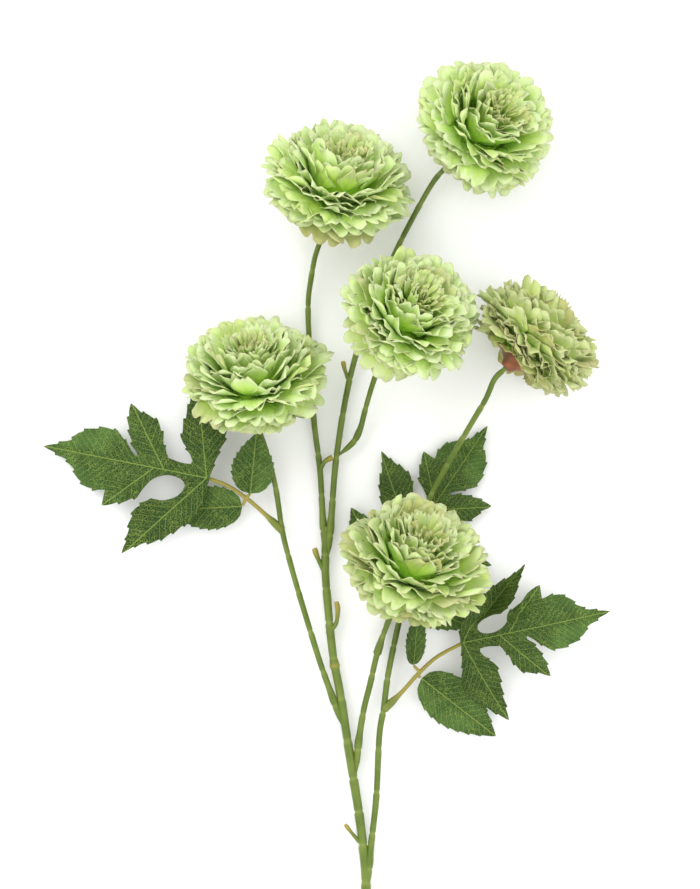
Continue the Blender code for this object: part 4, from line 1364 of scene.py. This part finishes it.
def sepal():
    """A pointed sepal, from the cup outwards along +X."""
    bpy.ops.object.select_all(action="DESELECT")
    bpy.ops.mesh.primitive_grid_add(x_subdivisions=8, y_subdivisions=4, size=2.0)
    thing = bpy.context.object
    places = raw_points(thing.data)
    share, across = (places[:, 0] + 1) / 2, places[:, 1]
    half = SEPAL_HALF * np.sin(np.pi * (SEPAL_BASE + SEPAL_SPAN * share)) ** SEPAL_POWER
    out = SEPAL_START + (SEPAL_REACH - SEPAL_START) * share
    rise = SEPAL_LEVEL - SEPAL_SAG * share + SEPAL_TURN_UP * share ** 3 + SEPAL_CUP * across ** 2
    set_points(thing.data, np.stack([out, across * half, rise], axis=1))
    thing.data.materials.append(calyx_brown)
    return thing


def cup():
    """A cup drawn up from a ring, widened at each step, and closed at both ends."""
    bpy.ops.object.select_all(action="DESELECT")
    radius, foot = CUP_STEPS[0]
    bpy.ops.mesh.primitive_circle_add(vertices=CUP_SIDES, radius=radius * MM, fill_type="NGON",
                                      location=(0, 0, foot * MM))
    thing = bpy.context.object
    bpy.ops.object.transform_apply(location=True)
    bpy.ops.object.mode_set(mode="EDIT")
    for (r0, z0), (r1, z1) in zip(CUP_STEPS, CUP_STEPS[1:]):
        bpy.ops.mesh.extrude_region_move(TRANSFORM_OT_translate={"value": (0, 0, (z1 - z0) * MM)})
        bpy.ops.transform.resize(value=(r1 / r0, r1 / r0, 1.0), center_override=(0, 0, z1 * MM))
    bpy.ops.object.mode_set(mode="OBJECT")
    shape = bmesh.new()
    shape.from_mesh(thing.data)
    bmesh.ops.recalc_face_normals(shape, faces=shape.faces)
    shape.to_mesh(thing.data)
    shape.free()
    thing.data.materials.append(calyx_brown)
    return thing


cup_blank, sepal_blank = cup(), sepal()
print("cup and sepal:", len(cup_blank.data.polygons), len(sepal_blank.data.polygons), "faces")

# %% Make the six calyces
SEPALS = 5
SEPAL_TURN = 0.25  # how far round the first sepal stands, as a share of the space between two
SEPAL_THICK = 0.5
CALYX_SHARP = 35  # degrees between two faces, from which their edge looks sharp


def make_calyx(name, head):
    sepals = []
    for k in range(SEPALS):
        one = copy_of(sepal_blank)
        one.data.transform(Matrix.Rotation(2 * math.pi * (k + SEPAL_TURN) / SEPALS, 4, "Z"))
        sepals.append(one)
    whole = join(sepals, f"calyx_cup_{name}")
    thicken(whole, SEPAL_THICK)
    whole = join([whole, copy_of(cup_blank)], f"calyx_cup_{name}")
    put_on_head(whole, head)
    bpy.ops.object.shade_smooth_by_angle(angle=math.radians(CALYX_SHARP))
    return declare(whole, f"calyx_{name}")


calyces = [make_calyx(name, head) for name, head in HEADS.items()]
for thing in (cup_blank, sepal_blank):
    bpy.data.objects.remove(thing)
print({thing.name: len(thing.data.polygons) for thing in calyces})

# %% [markdown]
# ## The camera, the table and the light
#
# The spray is looked at from straight above, as it lies. A long lens from three metres up keeps the heads
# from spreading towards the edges of the picture; a wide lens close by would show their sides. Large soft
# lights and a bright room leave only faint shadows, as in a studio.

# %% Camera
VIEW_CENTRE = (13.75, 49.25)  # millimetres on the table, in the middle of the picture
VIEW_HEIGHT = 444.5  # millimetres of the spray that the picture's height shows
CAMERA_HEIGHT = 3000.0
LOOK_LEVEL = 25.0
SENSOR = 36.0
FARTHEST = 20.0  # metres

camera_data = bpy.data.cameras.new("camera")
camera_data.sensor_width = SENSOR
camera_data.lens = SENSOR * CAMERA_HEIGHT / VIEW_HEIGHT
camera_data.clip_end = FARTHEST
camera = bpy.data.objects.new("camera", camera_data)
camera.location = (VIEW_CENTRE[0] * MM, VIEW_CENTRE[1] * MM, (CAMERA_HEIGHT + LOOK_LEVEL) * MM)
bpy.context.scene.collection.objects.link(camera)
bpy.context.scene.camera = camera

print("camera lens:", round(camera_data.lens, 1))

# %% Table
TABLE_SIZE = 6.0  # metres
TABLE_WHITE = (0.92, 0.92, 0.92, 1.0)

bpy.ops.object.select_all(action="DESELECT")
bpy.ops.mesh.primitive_plane_add(size=TABLE_SIZE)
table = bpy.context.object
table.name = "table_top"
white, table_shader = new_material("white_table")
set_surface(table_shader, Base_Color=TABLE_WHITE, Roughness=0.8)
table.data.materials.append(white)
print("table:", TABLE_SIZE, "metres square")

# %% Lights
# Each lamp's place and size in metres, and its power
LAMPS = {
    "key_light": ((-0.9, 1.1, 1.6), 1.4, 14.0),
    "fill_light": ((1.3, -0.6, 1.8), 1.8, 9.0),
}
ROOM_LIGHT = 1.42


def area_light(name, place, size, power):
    """A square lamp that looks at the middle of the table."""
    light = bpy.data.lights.new(name, "AREA")
    light.energy = power
    light.size = size
    lamp = bpy.data.objects.new(name, light)
    lamp.location = place
    lamp.rotation_euler = (-Vector(place)).to_track_quat("-Z", "Y").to_euler()
    bpy.context.scene.collection.objects.link(lamp)


for name, (place, size, power) in LAMPS.items():
    area_light(name, place, size, power)
world = bpy.data.worlds.new("studio")
world.use_nodes = True
background = world.node_tree.nodes["Background"]
background.inputs["Color"].default_value = (1.0, 1.0, 1.0, 1.0)
background.inputs["Strength"].default_value = ROOM_LIGHT
bpy.context.scene.world = world
bpy.context.scene.view_settings.view_transform = "Standard"
print("lamps:", len(LAMPS))
